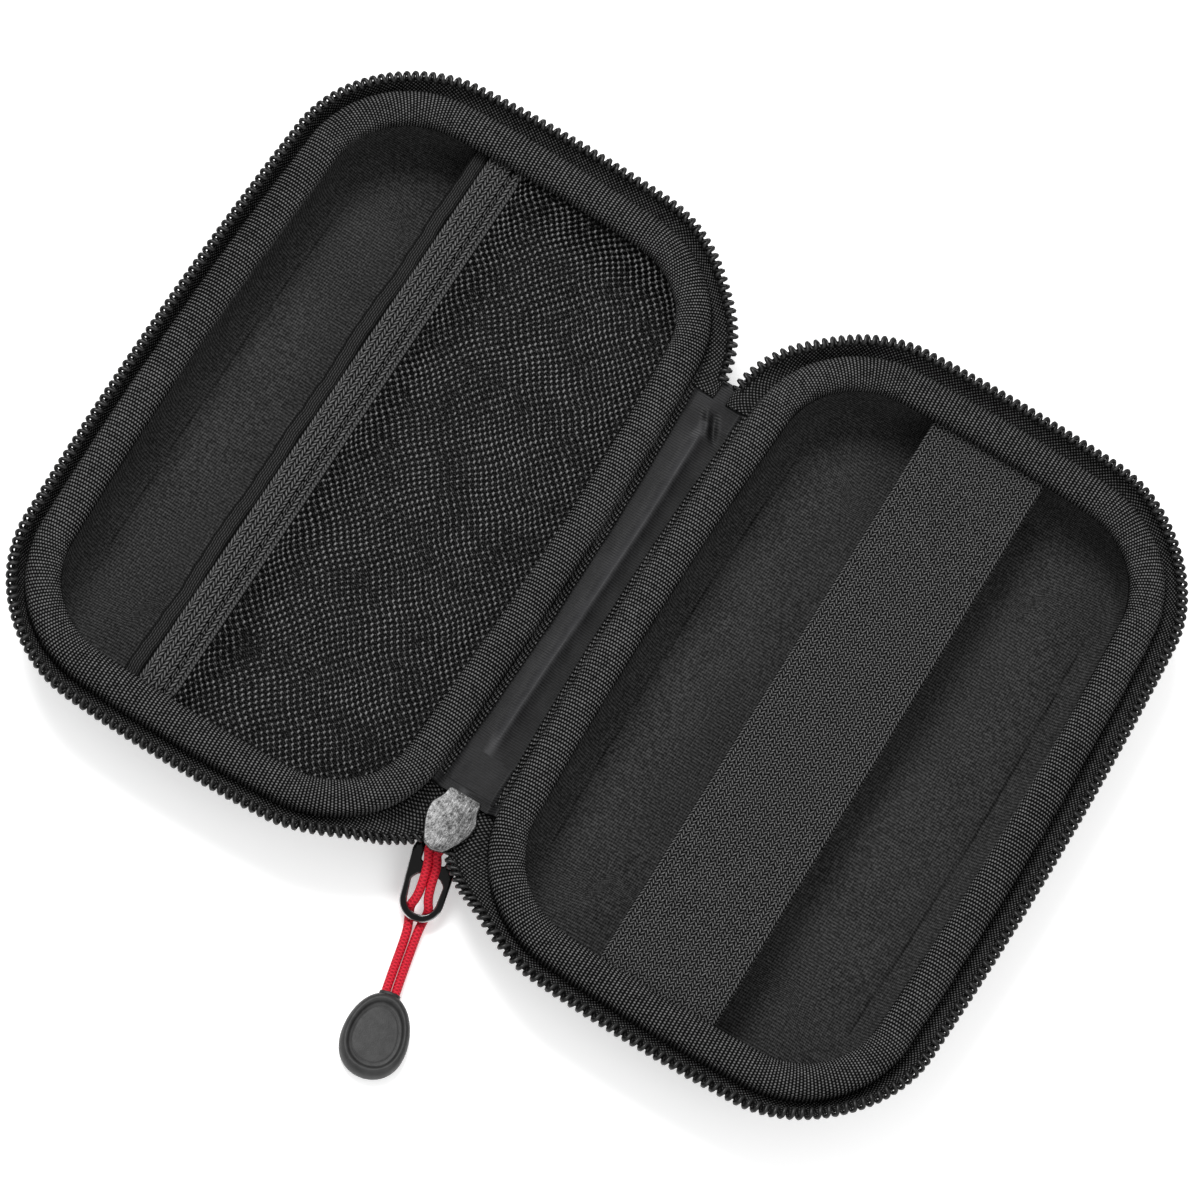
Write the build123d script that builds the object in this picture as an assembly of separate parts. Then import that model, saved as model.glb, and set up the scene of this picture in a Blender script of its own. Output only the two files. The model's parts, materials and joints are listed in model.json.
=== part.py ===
from build123d import *
from math import atan2, cos, degrees, pi, radians, sin, sqrt, tan
import os

# Semi-hard travel case that opens flat like a book: two moulded trays joined by a fabric spine.
# Origin: centre of the base tray's flat bottom.  +X points away from the spine, +Y along the spine
# away from the zip slider, +Z up out of the tray.

# Rim of one tray, over its binding
RIM_LENGTH = 162.0
RIM_WIDTH = 102.4
RIM_TOP = 22.0
CORNER_R = 27.0
LONG_SIDE_R = 1000.0
SHORT_SIDE_R = 420.0

# Moulded tray
WALL_INSET = 1.5
SHELL_THICK = 2.6
LINING_THICK = 0.8
RIM_EDGE = RIM_TOP - 3.0
BAND_LOW = 14.0
DRAFT = 3.0
FLOOR_R = 8.0
WALL_THICK = SHELL_THICK + LINING_THICK

# Binding folded over the tray's edge
BINDING_WIDTH = 7.5
CROWN_START = RIM_EDGE + 0.4
CROWN_STEPS = 10
OUTER_LEG_LOW = RIM_TOP - 4.6
INNER_LEG_LOW = RIM_TOP - 4.2

# Spine and its two fold lines
SPINE_WIDTH = 12.8
CLOSED_GAP = 1.0
FOLD_Z = RIM_TOP - SPINE_WIDTH / 2 + CLOSED_GAP / 2
FOLD_X = -RIM_WIDTH / 2
SPINE_X = FOLD_X - SPINE_WIDTH / 2
SPINE_HALF_LENGTH = 53.0
SPINE_PLY = 0.5
SPINE_CLEARANCE = 0.3
SPINE_TOP = FOLD_Z - 0.1
TAB_LENGTH = 7.0
PIPING_R = 0.45
END_STOP_SIZE = (4.4, 1.0, 1.6)

# Zip tape and its coil of teeth, which flare out and up from the rim
TAPE_THICK = 0.7
TAPE_ROOT_GAP = 0.3
FLARE = 3.4
FLARE_WAVE = 0.5
TEETH_SIZE = 1.8
TEETH_WIDTH = 0.9
TEETH_Z = RIM_TOP - 0.9
ZIP_ROOT_Z = FOLD_Z + 0.3
TAPE_BELOW_TEETH = 0.7

# The zip's run round the rim, as (arc, straight steps on it), and its ends, as angles on their arcs
ZIP_RUN = ((5, 9), (6, 5), (7, 8), (0, 9), (1, 8), (2, 5), (3, 10))
TAPE_ENDS = (194.0, 177.0)
TEETH_ENDS = (218.0, 176.6)

# Towards the spine's ends the teeth leave the rim: flare, height, and degrees past the spine side
FAR_FLARE = 5.7
FAR_FLARE_TURN = 45.0
FAR_TEETH_Z = ZIP_ROOT_Z + 0.6
FAR_RISE_TURN = 33.0
NEAR_FLARE = 1.4
NEAR_FLARE_TURNS = (40.0, 75.0)
NEAR_DIP = 3.0
NEAR_DIP_TURNS = (25.0, 65.0)
FOLD_CLEARANCE = 0.3

# Elastic strap over the base tray
STRAP_WIDTH = 28.4
STRAP_X = -1.3
STRAP_THICK = 1.1
STRAP_TOP = INNER_LEG_LOW - 0.3
STRAP_LEG = 3.3
STRAP_CLEARANCE = 0.15
BARTACK_SIZE = (24.0, 0.4, 1.4)
BARTACK_DROP = 1.4

# Mesh pocket in the lid, and the elastic band along its mouth
MESH_THICK = 0.9
MESH_TOP = INNER_LEG_LOW - 0.9
BAND_WIDTH = 8.0
BAND_THICK = 1.5
BAND_X = -125.6
POCKET_CLEARANCE = 0.25

# Zip slider: two plates around the teeth, a post, side flanges and a bridge underneath
SLIDER_Y = -62.8
SLIDER_TOP = FOLD_Z - 0.1
PLATE_THICK = 1.3
PLATE_GAP = 2.0
SLIDER_BOTTOM = SLIDER_TOP - 2 * PLATE_THICK - PLATE_GAP
SLIDER_SIDE = [(3.9, 6.5), (4.1, 3.9), (5.4, 1.2)]
SLIDER_MOUTH = (0, -6.7)
PLATE_FILLET = 0.35
POST_OUTLINE = [(0, -1.5), (1.2, -4.2), (0, -5.8), (-1.2, -4.2), (0, -1.5)]
FLANGE_SIZE = (0.8, 3.6)
FLANGE_AT = (3.45, 4.4)
PLATE_BITE = 0.2
BRIDGE_WIDTH = 2.4
BRIDGE_FRONT = 2.9
BRIDGE_BACK = 4.2
BRIDGE_DROP = 2.4
BRIDGE_BAR = 1.0
BRIDGE_FOOT = 1.2

# Metal puller ring, hung in the bridge and sloping down to the ground
PIVOT = Vector(SPINE_X, -66.0, 8.0)
PULLER_YAW = 15.0
PULLER_SLOPE = 16.3
RING_LENGTH = 17.5
RING_WIDTH = 10.4
RING_THICK = 1.6
RING_BAR = 1.7
RING_SHOULDER = 2.4
RING_TAPER = 0.4
TOP_BAR = 0.9
TOP_CORNER = 1.2
SLOT_WIDTH = 5.2
SLOT_END = 4.6
WINDOW_START = 7.4
WINDOW_CORNER = (1.3, 1.4)

# Braided cord and the rubber pull at its end
CORD_D = 2.0
STRAND_OFFSET = 1.05
UPPER_CORD = [(14.4, -0.5), (12.4, 0.9), (9.4, 1.95), (4.6, 2.3)]
LOWER_CORD = [(-52.9, -83.5, 1.9), (-52.2, -86.5, 1.35), (-51.2, -91.2, 1.25), (-50.0, -96.6, 2.2)]
PULL_LENGTH = 20.0
PULL_WIDTH = 15.0
PULL_THICK = 4.6
PULL_YAW = 13.2
PULL_FILLET = 1.5
DISH = (4.9, 6.8)
DISH_DEEP = 0.5
DISH_SHIFT = -0.6
NECK = (6.4, 2.4, 3.2)
NECK_BITE = 1.0


def corner_centre():
    """Centre of the arc that is tangent to the long and the short side."""
    x, y = RIM_WIDTH / 2 - CORNER_R, RIM_LENGTH / 2 - CORNER_R
    for _ in range(20):
        y = RIM_LENGTH / 2 - SHORT_SIDE_R + sqrt((SHORT_SIDE_R - CORNER_R) ** 2 - x * x)
        x = RIM_WIDTH / 2 - LONG_SIDE_R + sqrt((LONG_SIDE_R - CORNER_R) ** 2 - y * y)
    return x, y


CORNER_X, CORNER_Y = corner_centre()
LONG_ANGLE = degrees(atan2(CORNER_Y, CORNER_X - RIM_WIDTH / 2 + LONG_SIDE_R))
SHORT_ANGLE = degrees(atan2(CORNER_X, CORNER_Y - RIM_LENGTH / 2 + SHORT_SIDE_R))
CORNER_SWEEP = 90 - SHORT_ANGLE - LONG_ANGLE


def rim_arcs():
    """The rim's eight arcs, anticlockwise from +X, as centre, radius, start angle and sweep."""
    long_x = RIM_WIDTH / 2 - LONG_SIDE_R
    short_y = RIM_LENGTH / 2 - SHORT_SIDE_R
    return [
        ((long_x, 0), LONG_SIDE_R, -LONG_ANGLE, 2 * LONG_ANGLE),
        ((CORNER_X, CORNER_Y), CORNER_R, LONG_ANGLE, CORNER_SWEEP),
        ((0, short_y), SHORT_SIDE_R, 90 - SHORT_ANGLE, 2 * SHORT_ANGLE),
        ((-CORNER_X, CORNER_Y), CORNER_R, 90 + SHORT_ANGLE, CORNER_SWEEP),
        ((-long_x, 0), LONG_SIDE_R, 180 - LONG_ANGLE, 2 * LONG_ANGLE),
        ((-CORNER_X, -CORNER_Y), CORNER_R, 180 + LONG_ANGLE, CORNER_SWEEP),
        ((0, -short_y), SHORT_SIDE_R, 270 - SHORT_ANGLE, 2 * SHORT_ANGLE),
        ((CORNER_X, -CORNER_Y), CORNER_R, 270 + SHORT_ANGLE, CORNER_SWEEP),
    ]


def rim_wire(inset, z):
    edges = [CenterArc((*centre, z), radius - inset, start, sweep)
             for centre, radius, start, sweep in rim_arcs()]
    return Wire(edges)


def rim_face(inset, z):
    return Face(rim_wire(inset, z))


def tray_form(inset, top):
    """The moulded tray as a full block: drafted and rounded below, upright near the rim."""
    low = rim_face(WALL_INSET + DRAFT + inset, inset)
    block = loft([low, rim_face(WALL_INSET + inset, BAND_LOW)], ruled=True)
    bottom_edges = block.edges().group_by(Axis.Z)[0]
    block = fillet(bottom_edges, FLOOR_R - inset)
    band = extrude(rim_face(WALL_INSET + inset, BAND_LOW), top - BAND_LOW)
    return block + band


def tray_layer(outer, inner):
    """One layer of the tray's wall and floor, between two depths below its outer face."""
    return tray_form(outer, RIM_EDGE) - tray_form(inner, RIM_EDGE + 1)


def swept_ring(points):
    """Sweeps a closed section, given as (inset, z) points, round the whole rim."""
    section = Face(Wire.make_polygon([(RIM_WIDTH / 2 - n, 0, z) for n, z in points], close=True))
    return sweep(section, path=rim_wire(0, 0))


def binding():
    """Grosgrain tape folded over the rim edge: a padded crown and a leg down each side of the wall."""
    wall_out, wall_in = WALL_INSET, WALL_INSET + WALL_THICK
    crown = [(BINDING_WIDTH * (0.5 - 0.5 * cos(pi * i / CROWN_STEPS)),
              CROWN_START + (RIM_TOP - CROWN_START) * sin(pi * i / CROWN_STEPS))
             for i in range(CROWN_STEPS + 1)]
    legs = [(BINDING_WIDTH, INNER_LEG_LOW), (wall_in, INNER_LEG_LOW), (wall_in, RIM_EDGE),
            (wall_out, RIM_EDGE), (wall_out, OUTER_LEG_LOW), (0, OUTER_LEG_LOW)]
    return swept_ring(crown + legs)


def smooth(t):
    t = max(0.0, min(1.0, t))
    return t * t * (3 - 2 * t)


def ramp(value, limits):
    """Smooth step from 0 at the lower limit to 1 at the upper one."""
    return smooth((value - limits[0]) / (limits[1] - limits[0]))


def zip_stations(ends):
    """Stations along the rim from the spine's near end to its far end, as centre, radius, angle, arc."""
    stations = []
    arcs = rim_arcs()
    first_arc, last_arc = ZIP_RUN[0][0], ZIP_RUN[-1][0]
    for index, steps in ZIP_RUN:
        centre, radius, first, sweep_angle = arcs[index]
        low = ends[0] if index == first_arc else first
        high = ends[1] if index == last_arc else first + sweep_angle
        for i in range(steps + (index == last_arc)):
            stations.append((centre, radius, low + (high - low) * i / steps, index))
    return stations


def zip_offsets(angle, index):
    """Outward flare of the teeth from the rim, and their height, at one station."""
    wave = FLARE + FLARE_WAVE * cos(4 * radians(angle))
    if index == ZIP_RUN[-1][0]:
        turn = 180 - angle
        flare = wave + (FAR_FLARE - wave) * (1 - smooth(turn / FAR_FLARE_TURN))
        return flare, FAR_TEETH_Z + (TEETH_Z - FAR_TEETH_Z) * smooth(turn / FAR_RISE_TURN)
    if index == ZIP_RUN[0][0]:
        turn = angle - 180
        room = (CORNER_R - FOLD_CLEARANCE) / cos(radians(min(turn, NEAR_FLARE_TURNS[1]))) - CORNER_R
        flare = wave + NEAR_FLARE * (1 - ramp(turn, NEAR_FLARE_TURNS))
        return min(flare, room), TEETH_Z - NEAR_DIP * (1 - ramp(turn, NEAR_DIP_TURNS))
    return wave, TEETH_Z


def strip_along(stations, section):
    """Ruled solid through one closed section at each station; section gives (flare, z) points."""
    rings = []
    for centre, radius, angle, index in stations:
        c, s = cos(radians(angle)), sin(radians(angle))
        points = [(centre[0] + (radius + n) * c, centre[1] + (radius + n) * s, z)
                  for n, z in section(*zip_offsets(angle, index))]
        rings.append(Wire.make_polygon(points, close=True))
    return Solid.make_loft(rings, ruled=True)


def tape_section(flare, z):
    """Zip tape: sewn in below the binding, out under its edge, then up to the teeth."""
    root = -WALL_INSET + TAPE_ROOT_GAP
    elbow = min(0.5, flare - 0.3)
    tip = max(z - TAPE_BELOW_TEETH, ZIP_ROOT_Z + 0.1)
    upper = ZIP_ROOT_Z + TAPE_THICK
    return [(root, ZIP_ROOT_Z), (elbow, ZIP_ROOT_Z), (flare, tip - 0.4),
            (flare - 0.6 * TAPE_THICK, tip + 0.2), (elbow - 0.5 * TAPE_THICK, upper), (root, upper)]


def teeth_section(flare, z):
    """The coil of teeth, as a bead just beyond the tape's edge."""
    half = TEETH_SIZE / 2
    inner, outer = flare + 0.05, flare + 0.05 + TEETH_WIDTH
    low, high = max(z - half, ZIP_ROOT_Z - 0.2), z + 0.9 * half
    return [(inner, low), (outer, low), (outer, high), (inner, high)]


def zip_tape():
    return strip_along(zip_stations(TAPE_ENDS), tape_section)


def zip_teeth():
    return strip_along(zip_stations(TEETH_ENDS), teeth_section)


def mirrored(shape):
    """The lid's copy of a base piece, reflected in the spine's middle plane."""
    return shape.mirror(Plane.YZ.offset(SPINE_X))


def end_wall(x, depth):
    """Y of the tray's end wall at x, at a given depth inside the rim."""
    short_y = RIM_LENGTH / 2 - SHORT_SIDE_R
    return short_y + sqrt((SHORT_SIDE_R - depth) ** 2 - x * x)


def strap_reach():
    """Half the strap's length between the two end walls."""
    corner_x = STRAP_WIDTH / 2 + abs(STRAP_X)
    return end_wall(corner_x, WALL_INSET + WALL_THICK) - STRAP_CLEARANCE


def drive_strap():
    """Wide elastic strap along Y, with its two ends turned down and sewn to the end walls."""
    reach, low = strap_reach(), STRAP_TOP - STRAP_THICK
    web = Pos(STRAP_X, 0, STRAP_TOP - STRAP_THICK / 2) * Box(STRAP_WIDTH, 2 * reach, STRAP_THICK)
    leg_size = (STRAP_WIDTH, STRAP_THICK, STRAP_LEG)
    leg_z = STRAP_TOP - STRAP_THICK / 2 - STRAP_LEG / 2
    for side in (-1, 1):
        web += Pos(STRAP_X, side * (reach - STRAP_THICK / 2), leg_z) * Box(*leg_size)
    return web


def strap_bartacks():
    """A dense row of thread across each turned-down end of the strap."""
    y = strap_reach() - STRAP_THICK - BARTACK_SIZE[1] / 2
    z = STRAP_TOP - STRAP_THICK - BARTACK_DROP
    return Compound([Pos(STRAP_X, side * y, z) * Box(*BARTACK_SIZE) for side in (-1, 1)])


def pocket_plan(z, thick, low_x, high_x):
    """A flat layer of the pocket, cut to the lid's inside wall, between two X planes."""
    layer = extrude(rim_face(WALL_INSET + WALL_THICK + POCKET_CLEARANCE, z), thick)
    layer = layer.moved(Location((2 * SPINE_X, 0, 0)))
    window = Pos((low_x + high_x) / 2, 0, z + thick / 2) * Box(
        high_x - low_x, RIM_LENGTH, 2 * thick)
    return layer & window


def pocket_mesh():
    return pocket_plan(MESH_TOP - MESH_THICK, MESH_THICK, BAND_X + BAND_WIDTH / 2, FOLD_X)


def pocket_band():
    return pocket_plan(MESH_TOP - MESH_THICK, BAND_THICK,
                       BAND_X - BAND_WIDTH / 2, BAND_X + BAND_WIDTH / 2)


def spine_ply(top, length, width):
    return Pos(SPINE_X, 0, top - SPINE_PLY / 2) * Box(width, length, SPINE_PLY)


def spine_tab(side):
    """Reinforcing patch over one end of the spine."""
    y = side * (SPINE_HALF_LENGTH - TAB_LENGTH / 2)
    width = SPINE_WIDTH - 2 * SPINE_CLEARANCE
    return Pos(SPINE_X, y, SPINE_TOP - SPINE_PLY / 2) * Box(width, TAB_LENGTH, SPINE_PLY)


def spine_piping():
    """Soft raised crease along the middle of the spine's inner ply."""
    length = 2 * (SPINE_HALF_LENGTH - TAB_LENGTH) - 1
    ply_top = SPINE_TOP - SPINE_PLY
    rod = Pos(SPINE_X, 0, ply_top) * Rot(90, 0, 0) * Cylinder(PIPING_R, length)
    above = Pos(SPINE_X, 0, ply_top + PIPING_R) * Box(4 * PIPING_R, length + 1, 2 * PIPING_R)
    return rod & above


def zip_end_stop():
    """Sewn stop across the far end of the spine, where the two runs of teeth meet."""
    y = SPINE_HALF_LENGTH + END_STOP_SIZE[1] / 2 + 0.1
    return Pos(SPINE_X, y, SPINE_TOP - END_STOP_SIZE[2] / 2) * Box(*END_STOP_SIZE)


def slider_plate(z):
    """Shield outline: flat tail towards the spine, round mouth towards the opening."""
    tail = Polyline([(-x, y) for x, y in reversed(SLIDER_SIDE)] + SLIDER_SIDE)
    wide_x, wide_y = SLIDER_SIDE[-1]
    mouth = ThreePointArc((wide_x, wide_y), SLIDER_MOUTH, (-wide_x, wide_y))
    plate = extrude(make_face(Wire([*tail.edges(), mouth])), PLATE_THICK)
    return plate.moved(Location((SPINE_X, SLIDER_Y, z)))


def slider_body():
    """Die-cast body: back plate, front plate, the post that parts the teeth, and the tail's flanges."""
    back = slider_plate(SLIDER_TOP - PLATE_THICK)
    back = fillet(back.edges().group_by(Axis.Z)[-1], PLATE_FILLET)
    body = back + slider_plate(SLIDER_BOTTOM)
    low = SLIDER_BOTTOM + PLATE_THICK - PLATE_BITE
    height = PLATE_GAP + 2 * PLATE_BITE
    post = extrude(make_face(Polyline(POST_OUTLINE)), height)
    body += post.moved(Location((SPINE_X, SLIDER_Y, low)))
    for side in (-1, 1):
        body += Pos(SPINE_X + side * FLANGE_AT[0], SLIDER_Y + FLANGE_AT[1], low + height / 2) * Box(
            *FLANGE_SIZE, height)
    return body


def slider_bridge():
    """Square loop under the front plate that holds the puller ring and the cord."""
    low = PIVOT.Z - BRIDGE_DROP
    height = SLIDER_BOTTOM - low
    front, back = PIVOT.Y - BRIDGE_FRONT, PIVOT.Y + BRIDGE_BACK
    middle, length = (front + back) / 2, back - front
    loop = Pos(SPINE_X, middle, low + height / 2) * Box(BRIDGE_WIDTH, length, height)
    hole = Pos(SPINE_X, middle, low + BRIDGE_BAR + height / 2) * Box(
        2 * BRIDGE_WIDTH, length - 2 * BRIDGE_FOOT, height)
    return loop - hole


def puller_plane():
    """Local frame of the ring: X across it, Y from the pivot to the lower bar, Z out of its face."""
    yaw, slope = radians(PULLER_YAW), radians(PULLER_SLOPE)
    along = Vector(sin(yaw) * cos(slope), -cos(yaw) * cos(slope), -sin(slope))
    across = Vector(-cos(yaw), -sin(yaw), 0)
    return Plane(origin=PIVOT, x_dir=across, z_dir=across.cross(along))


def puller_ring():
    """Flat ring: top bar in the bridge, a plate with a slot above it, a window and a round end."""
    half, end = RING_WIDTH / 2, RING_LENGTH - RING_WIDTH / 2 + RING_TAPER
    right = [(half - RING_TAPER, end), (half, RING_SHOULDER), (half - TOP_CORNER, -TOP_BAR)]
    sides = Polyline(right + [(-x, y) for x, y in reversed(right)])
    round_end = ThreePointArc((RING_TAPER - half, end), (0, RING_LENGTH), (half - RING_TAPER, end))
    ring = extrude(make_face(Wire([*sides.edges(), round_end])), RING_THICK / 2, both=True)
    inner, low = half - RING_BAR, end - 0.3
    corner_x, corner_y = WINDOW_CORNER
    right = [(inner - 0.3, low), (inner, WINDOW_START + corner_y), (inner - corner_x, WINDOW_START)]
    hexagon = Polyline(right + [(-x, y) for x, y in reversed(right)])
    arch = ThreePointArc((0.3 - inner, low), (0, RING_LENGTH - RING_BAR), (inner - 0.3, low))
    window = extrude(make_face(Wire([*hexagon.edges(), arch])), RING_THICK, both=True)
    slot_size = (SLOT_WIDTH, SLOT_END - TOP_BAR, 2 * RING_THICK)
    slot = Pos(0, (TOP_BAR + SLOT_END) / 2, 0) * Box(*slot_size)
    ring = ring - window - slot
    return ring.moved(puller_plane().location)


def tube(points, diameter):
    """Round tube along straight runs joined by the largest tangent arcs that they allow."""
    points = [Vector(*p) for p in points]
    radii = []
    for a, b, c in zip(points, points[1:], points[2:]):
        turn = radians((b - a).get_angle(c - b))
        radii.append(0.45 * min((b - a).length, (c - b).length) / tan(turn / 2))
    path = FilletPolyline(*points, radius=radii)
    wire = Wire(path.edges())
    section = Plane(origin=wire @ 0, z_dir=wire % 0) * Circle(diameter / 2)
    solid = sweep(section, path=wire)
    expected = pi * diameter ** 2 / 4 * wire.length
    print("cord radii", [round(r, 1) for r in radii], "length", round(wire.length, 1),
          "volume ratio", round(solid.volume / expected, 4))
    return solid


def cord_upper():
    """The two strands from the bridge, over the ring's plate and down through its window."""
    frame = puller_plane()
    strands = []
    for side in (-1, 1):
        points = [frame.from_local_coords(Vector(side * STRAND_OFFSET, along, lift))
                  for along, lift in UPPER_CORD]
        strands.append(tube([tuple(p) for p in points], CORD_D))
    return Compound(strands)


def cord_lower():
    """The two strands from under the ring's lower bar to the rubber pull."""
    yaw = radians(PULL_YAW)
    strands = []
    for side in (-1, 1):
        dx, dy = side * STRAND_OFFSET * cos(yaw), side * STRAND_OFFSET * sin(yaw)
        points = [(x + dx, y + dy, z) for x, y, z in LOWER_CORD]
        strands.append(tube(points, CORD_D))
    return Compound(strands)


def rubber_pull():
    """Oval moulded grip, dished on top, with a flat-ended neck that the cord runs into."""
    oval = extrude(Ellipse(PULL_WIDTH / 2, PULL_LENGTH / 2).face(), PULL_THICK)
    oval = fillet(oval.edges(), PULL_FILLET)
    dish = Pos(0, DISH_SHIFT, PULL_THICK - DISH_DEEP) * extrude(Ellipse(*DISH).face(), 2 * DISH_DEEP)
    reach = PULL_LENGTH / 2 + NECK_BITE
    neck = Pos(0, reach - NECK[1] / 2, PULL_THICK / 2) * Box(*NECK)
    pull = oval + neck - dish
    last = Vector(*LOWER_CORD[-1])
    yaw = radians(PULL_YAW)
    centre = (last.X + reach * sin(yaw), last.Y - reach * cos(yaw), 0)
    return pull.moved(Location(centre, (0, 0, PULL_YAW)))


def build():
    nodes = {}
    base = {
        "shell": tray_layer(0, SHELL_THICK),
        "lining": tray_layer(SHELL_THICK, WALL_THICK),
        "binding": binding(),
        "zip_tape": zip_tape(),
        "zip_teeth": zip_teeth(),
    }
    for name, shape in base.items():
        nodes["base_" + name] = shape
        nodes["lid_" + name] = mirrored(shape)
    nodes["drive_strap"] = drive_strap()
    nodes["strap_bartacks"] = strap_bartacks()
    nodes["pocket_mesh"] = pocket_mesh()
    nodes["pocket_band"] = pocket_band()
    width = SPINE_WIDTH - 2 * SPINE_CLEARANCE
    nodes["spine_inner"] = spine_ply(SPINE_TOP - SPINE_PLY, 2 * SPINE_HALF_LENGTH, width)
    nodes["spine_outer"] = spine_ply(SPINE_TOP - 2 * SPINE_PLY, 2 * SPINE_HALF_LENGTH, width)
    nodes["spine_tab_far"] = spine_tab(1)
    nodes["spine_tab_near"] = spine_tab(-1)
    nodes["spine_piping"] = spine_piping()
    nodes["zip_end_stop"] = zip_end_stop()
    nodes["slider_body"] = slider_body()
    nodes["slider_bridge"] = slider_bridge()
    nodes["puller_ring"] = puller_ring()
    nodes["pull_cord_upper"] = cord_upper()
    nodes["pull_cord_lower"] = cord_lower()
    nodes["rubber_pull"] = rubber_pull()
    return nodes


os.makedirs("parts", exist_ok=True)
for node_name, node_shape in build().items():
    export_step(node_shape, f"parts/{node_name}.step")
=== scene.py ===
import json
from math import atan2, cos, floor, pi, radians, sin, sqrt, tan

import bmesh
import bpy
import numpy as np
from mathutils import Matrix, Vector


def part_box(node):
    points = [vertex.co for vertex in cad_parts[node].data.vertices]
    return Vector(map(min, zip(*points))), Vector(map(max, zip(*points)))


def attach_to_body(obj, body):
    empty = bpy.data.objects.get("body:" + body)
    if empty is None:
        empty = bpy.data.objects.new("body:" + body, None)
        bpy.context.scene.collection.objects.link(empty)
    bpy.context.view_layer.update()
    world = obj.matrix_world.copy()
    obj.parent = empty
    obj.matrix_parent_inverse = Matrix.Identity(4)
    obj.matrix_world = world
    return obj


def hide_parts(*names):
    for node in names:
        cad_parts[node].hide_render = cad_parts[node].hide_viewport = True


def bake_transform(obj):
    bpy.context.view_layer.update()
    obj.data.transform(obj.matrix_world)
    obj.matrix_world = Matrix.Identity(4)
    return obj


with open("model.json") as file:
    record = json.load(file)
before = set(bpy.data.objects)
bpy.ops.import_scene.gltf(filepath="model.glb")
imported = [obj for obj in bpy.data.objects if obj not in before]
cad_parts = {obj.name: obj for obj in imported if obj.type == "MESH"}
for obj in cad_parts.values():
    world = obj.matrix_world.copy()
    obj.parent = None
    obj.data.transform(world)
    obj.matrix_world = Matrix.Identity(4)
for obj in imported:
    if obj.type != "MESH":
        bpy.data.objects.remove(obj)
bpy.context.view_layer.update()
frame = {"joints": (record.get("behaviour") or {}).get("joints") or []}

# Lengths are in millimetres and become metres where a mesh is made.  Only the cord's route is in metres.
MM = 0.001


def node_box(name):
    low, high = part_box(name)
    return np.array(low) / MM, np.array(high) / MM


JOINTS = {joint["name"]: joint for joint in frame["joints"]}

# Rim of one tray, over its binding
RIM_LOW, RIM_HIGH = node_box("base_binding")
RIM_WIDTH, RIM_LENGTH = (round(float(x), 1) for x in (RIM_HIGH - RIM_LOW)[:2])
RIM_TOP = round(float(RIM_HIGH[2]), 1)
CORNER_R = 27.0
LONG_SIDE_R = 1000.0
SHORT_SIDE_R = 420.0

# Moulded tray under the rim
WALL_INSET = 1.5
SHELL_THICK = 2.6
WALL_THICK = 3.4
RIM_EDGE = RIM_TOP - 3.0
BAND_LOW = 14.0
DRAFT = 3.0
FLOOR_R = 8.0
BINDING_WIDTH = 7.5

# Fold lines, spine and puller's pivot
FOLD_X, FOLD_Z = (1000 * JOINTS["base_fold"]["pos_m"][i] for i in (0, 2))
SPINE_X = (FOLD_X + 1000 * JOINTS["lid_fold"]["pos_m"][0]) / 2
SPINE_HALF = float(node_box("spine_inner")[1][1])
PIVOT = Vector(JOINTS["puller_swing"]["pos_m"])

HALVES = (("base", "base_tray", False), ("lid", "lid_tray", True))


# --- camera, light and floor -------------------------------------------------------------------

CAMERA_AIM = (-56.2, -2.3, 15.0)
CAMERA_DISTANCE = 1192.6
CAMERA_AZIMUTH = 12.32
CAMERA_ELEVATION = 68.03
CAMERA_ROLL = 19.49
CAMERA_LENS = 166.0


def make_camera():
    azimuth, elevation, roll = map(radians, (CAMERA_AZIMUTH, CAMERA_ELEVATION, CAMERA_ROLL))
    back = Vector((sin(azimuth) * cos(elevation), -cos(azimuth) * cos(elevation), sin(elevation)))
    level = Vector((cos(azimuth), sin(azimuth), 0))
    right = level * cos(roll) + back.cross(level) * sin(roll)
    axes = Matrix((right, back.cross(right), back)).transposed().to_4x4()
    data = bpy.data.cameras.new("camera")
    data.lens, data.sensor_width = CAMERA_LENS, 36.0
    data.clip_start, data.clip_end = 0.05, 20.0
    camera = bpy.data.objects.new("camera", data)
    camera.matrix_world = Matrix.Translation((Vector(CAMERA_AIM) + back * CAMERA_DISTANCE) * MM) @ axes
    bpy.context.scene.collection.objects.link(camera)
    bpy.context.scene.camera = camera


def area_light(name, place, aim, size, power):
    data = bpy.data.lights.new(name, "AREA")
    data.shape, data.size, data.energy = "DISK", size, power
    light = bpy.data.objects.new(name, data)
    light.location = place
    light.rotation_euler = (Vector(aim) - Vector(place)).to_track_quat("-Z", "Y").to_euler()
    bpy.context.scene.collection.objects.link(light)


def make_studio():
    aim = Vector(CAMERA_AIM) * MM
    area_light("key_light", (-0.55, 0.35, 1.25), aim, 0.6, 15)
    area_light("fill_light", (0.7, -0.5, 0.9), aim, 1.0, 4)
    world = bpy.data.worlds.new("studio")
    world.use_nodes = True
    background = world.node_tree.nodes["Background"]
    background.inputs["Color"].default_value = (1, 1, 1, 1)
    background.inputs["Strength"].default_value = 0.72
    bpy.context.scene.world = world
    bpy.context.scene.view_settings.view_transform = "Standard"
    size = 3.0
    mesh = bpy.data.meshes.new("floor")
    corners = [(-size, -size, 0), (size, -size, 0), (size, size, 0), (-size, size, 0)]
    mesh.from_pydata(corners, [], [(0, 1, 2, 3)])
    floor_plane = bpy.data.objects.new("floor", mesh)
    floor_plane.location.z = -0.0002
    bpy.context.scene.collection.objects.link(floor_plane)
    material = Shader("floor_paper", (0.94, 0.94, 0.94), 0.9, 0.1)
    material.socket("Emission Color", (1, 1, 1, 1))
    material.socket("Emission Strength", 0.35)
    mesh.materials.append(material.material)


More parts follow.
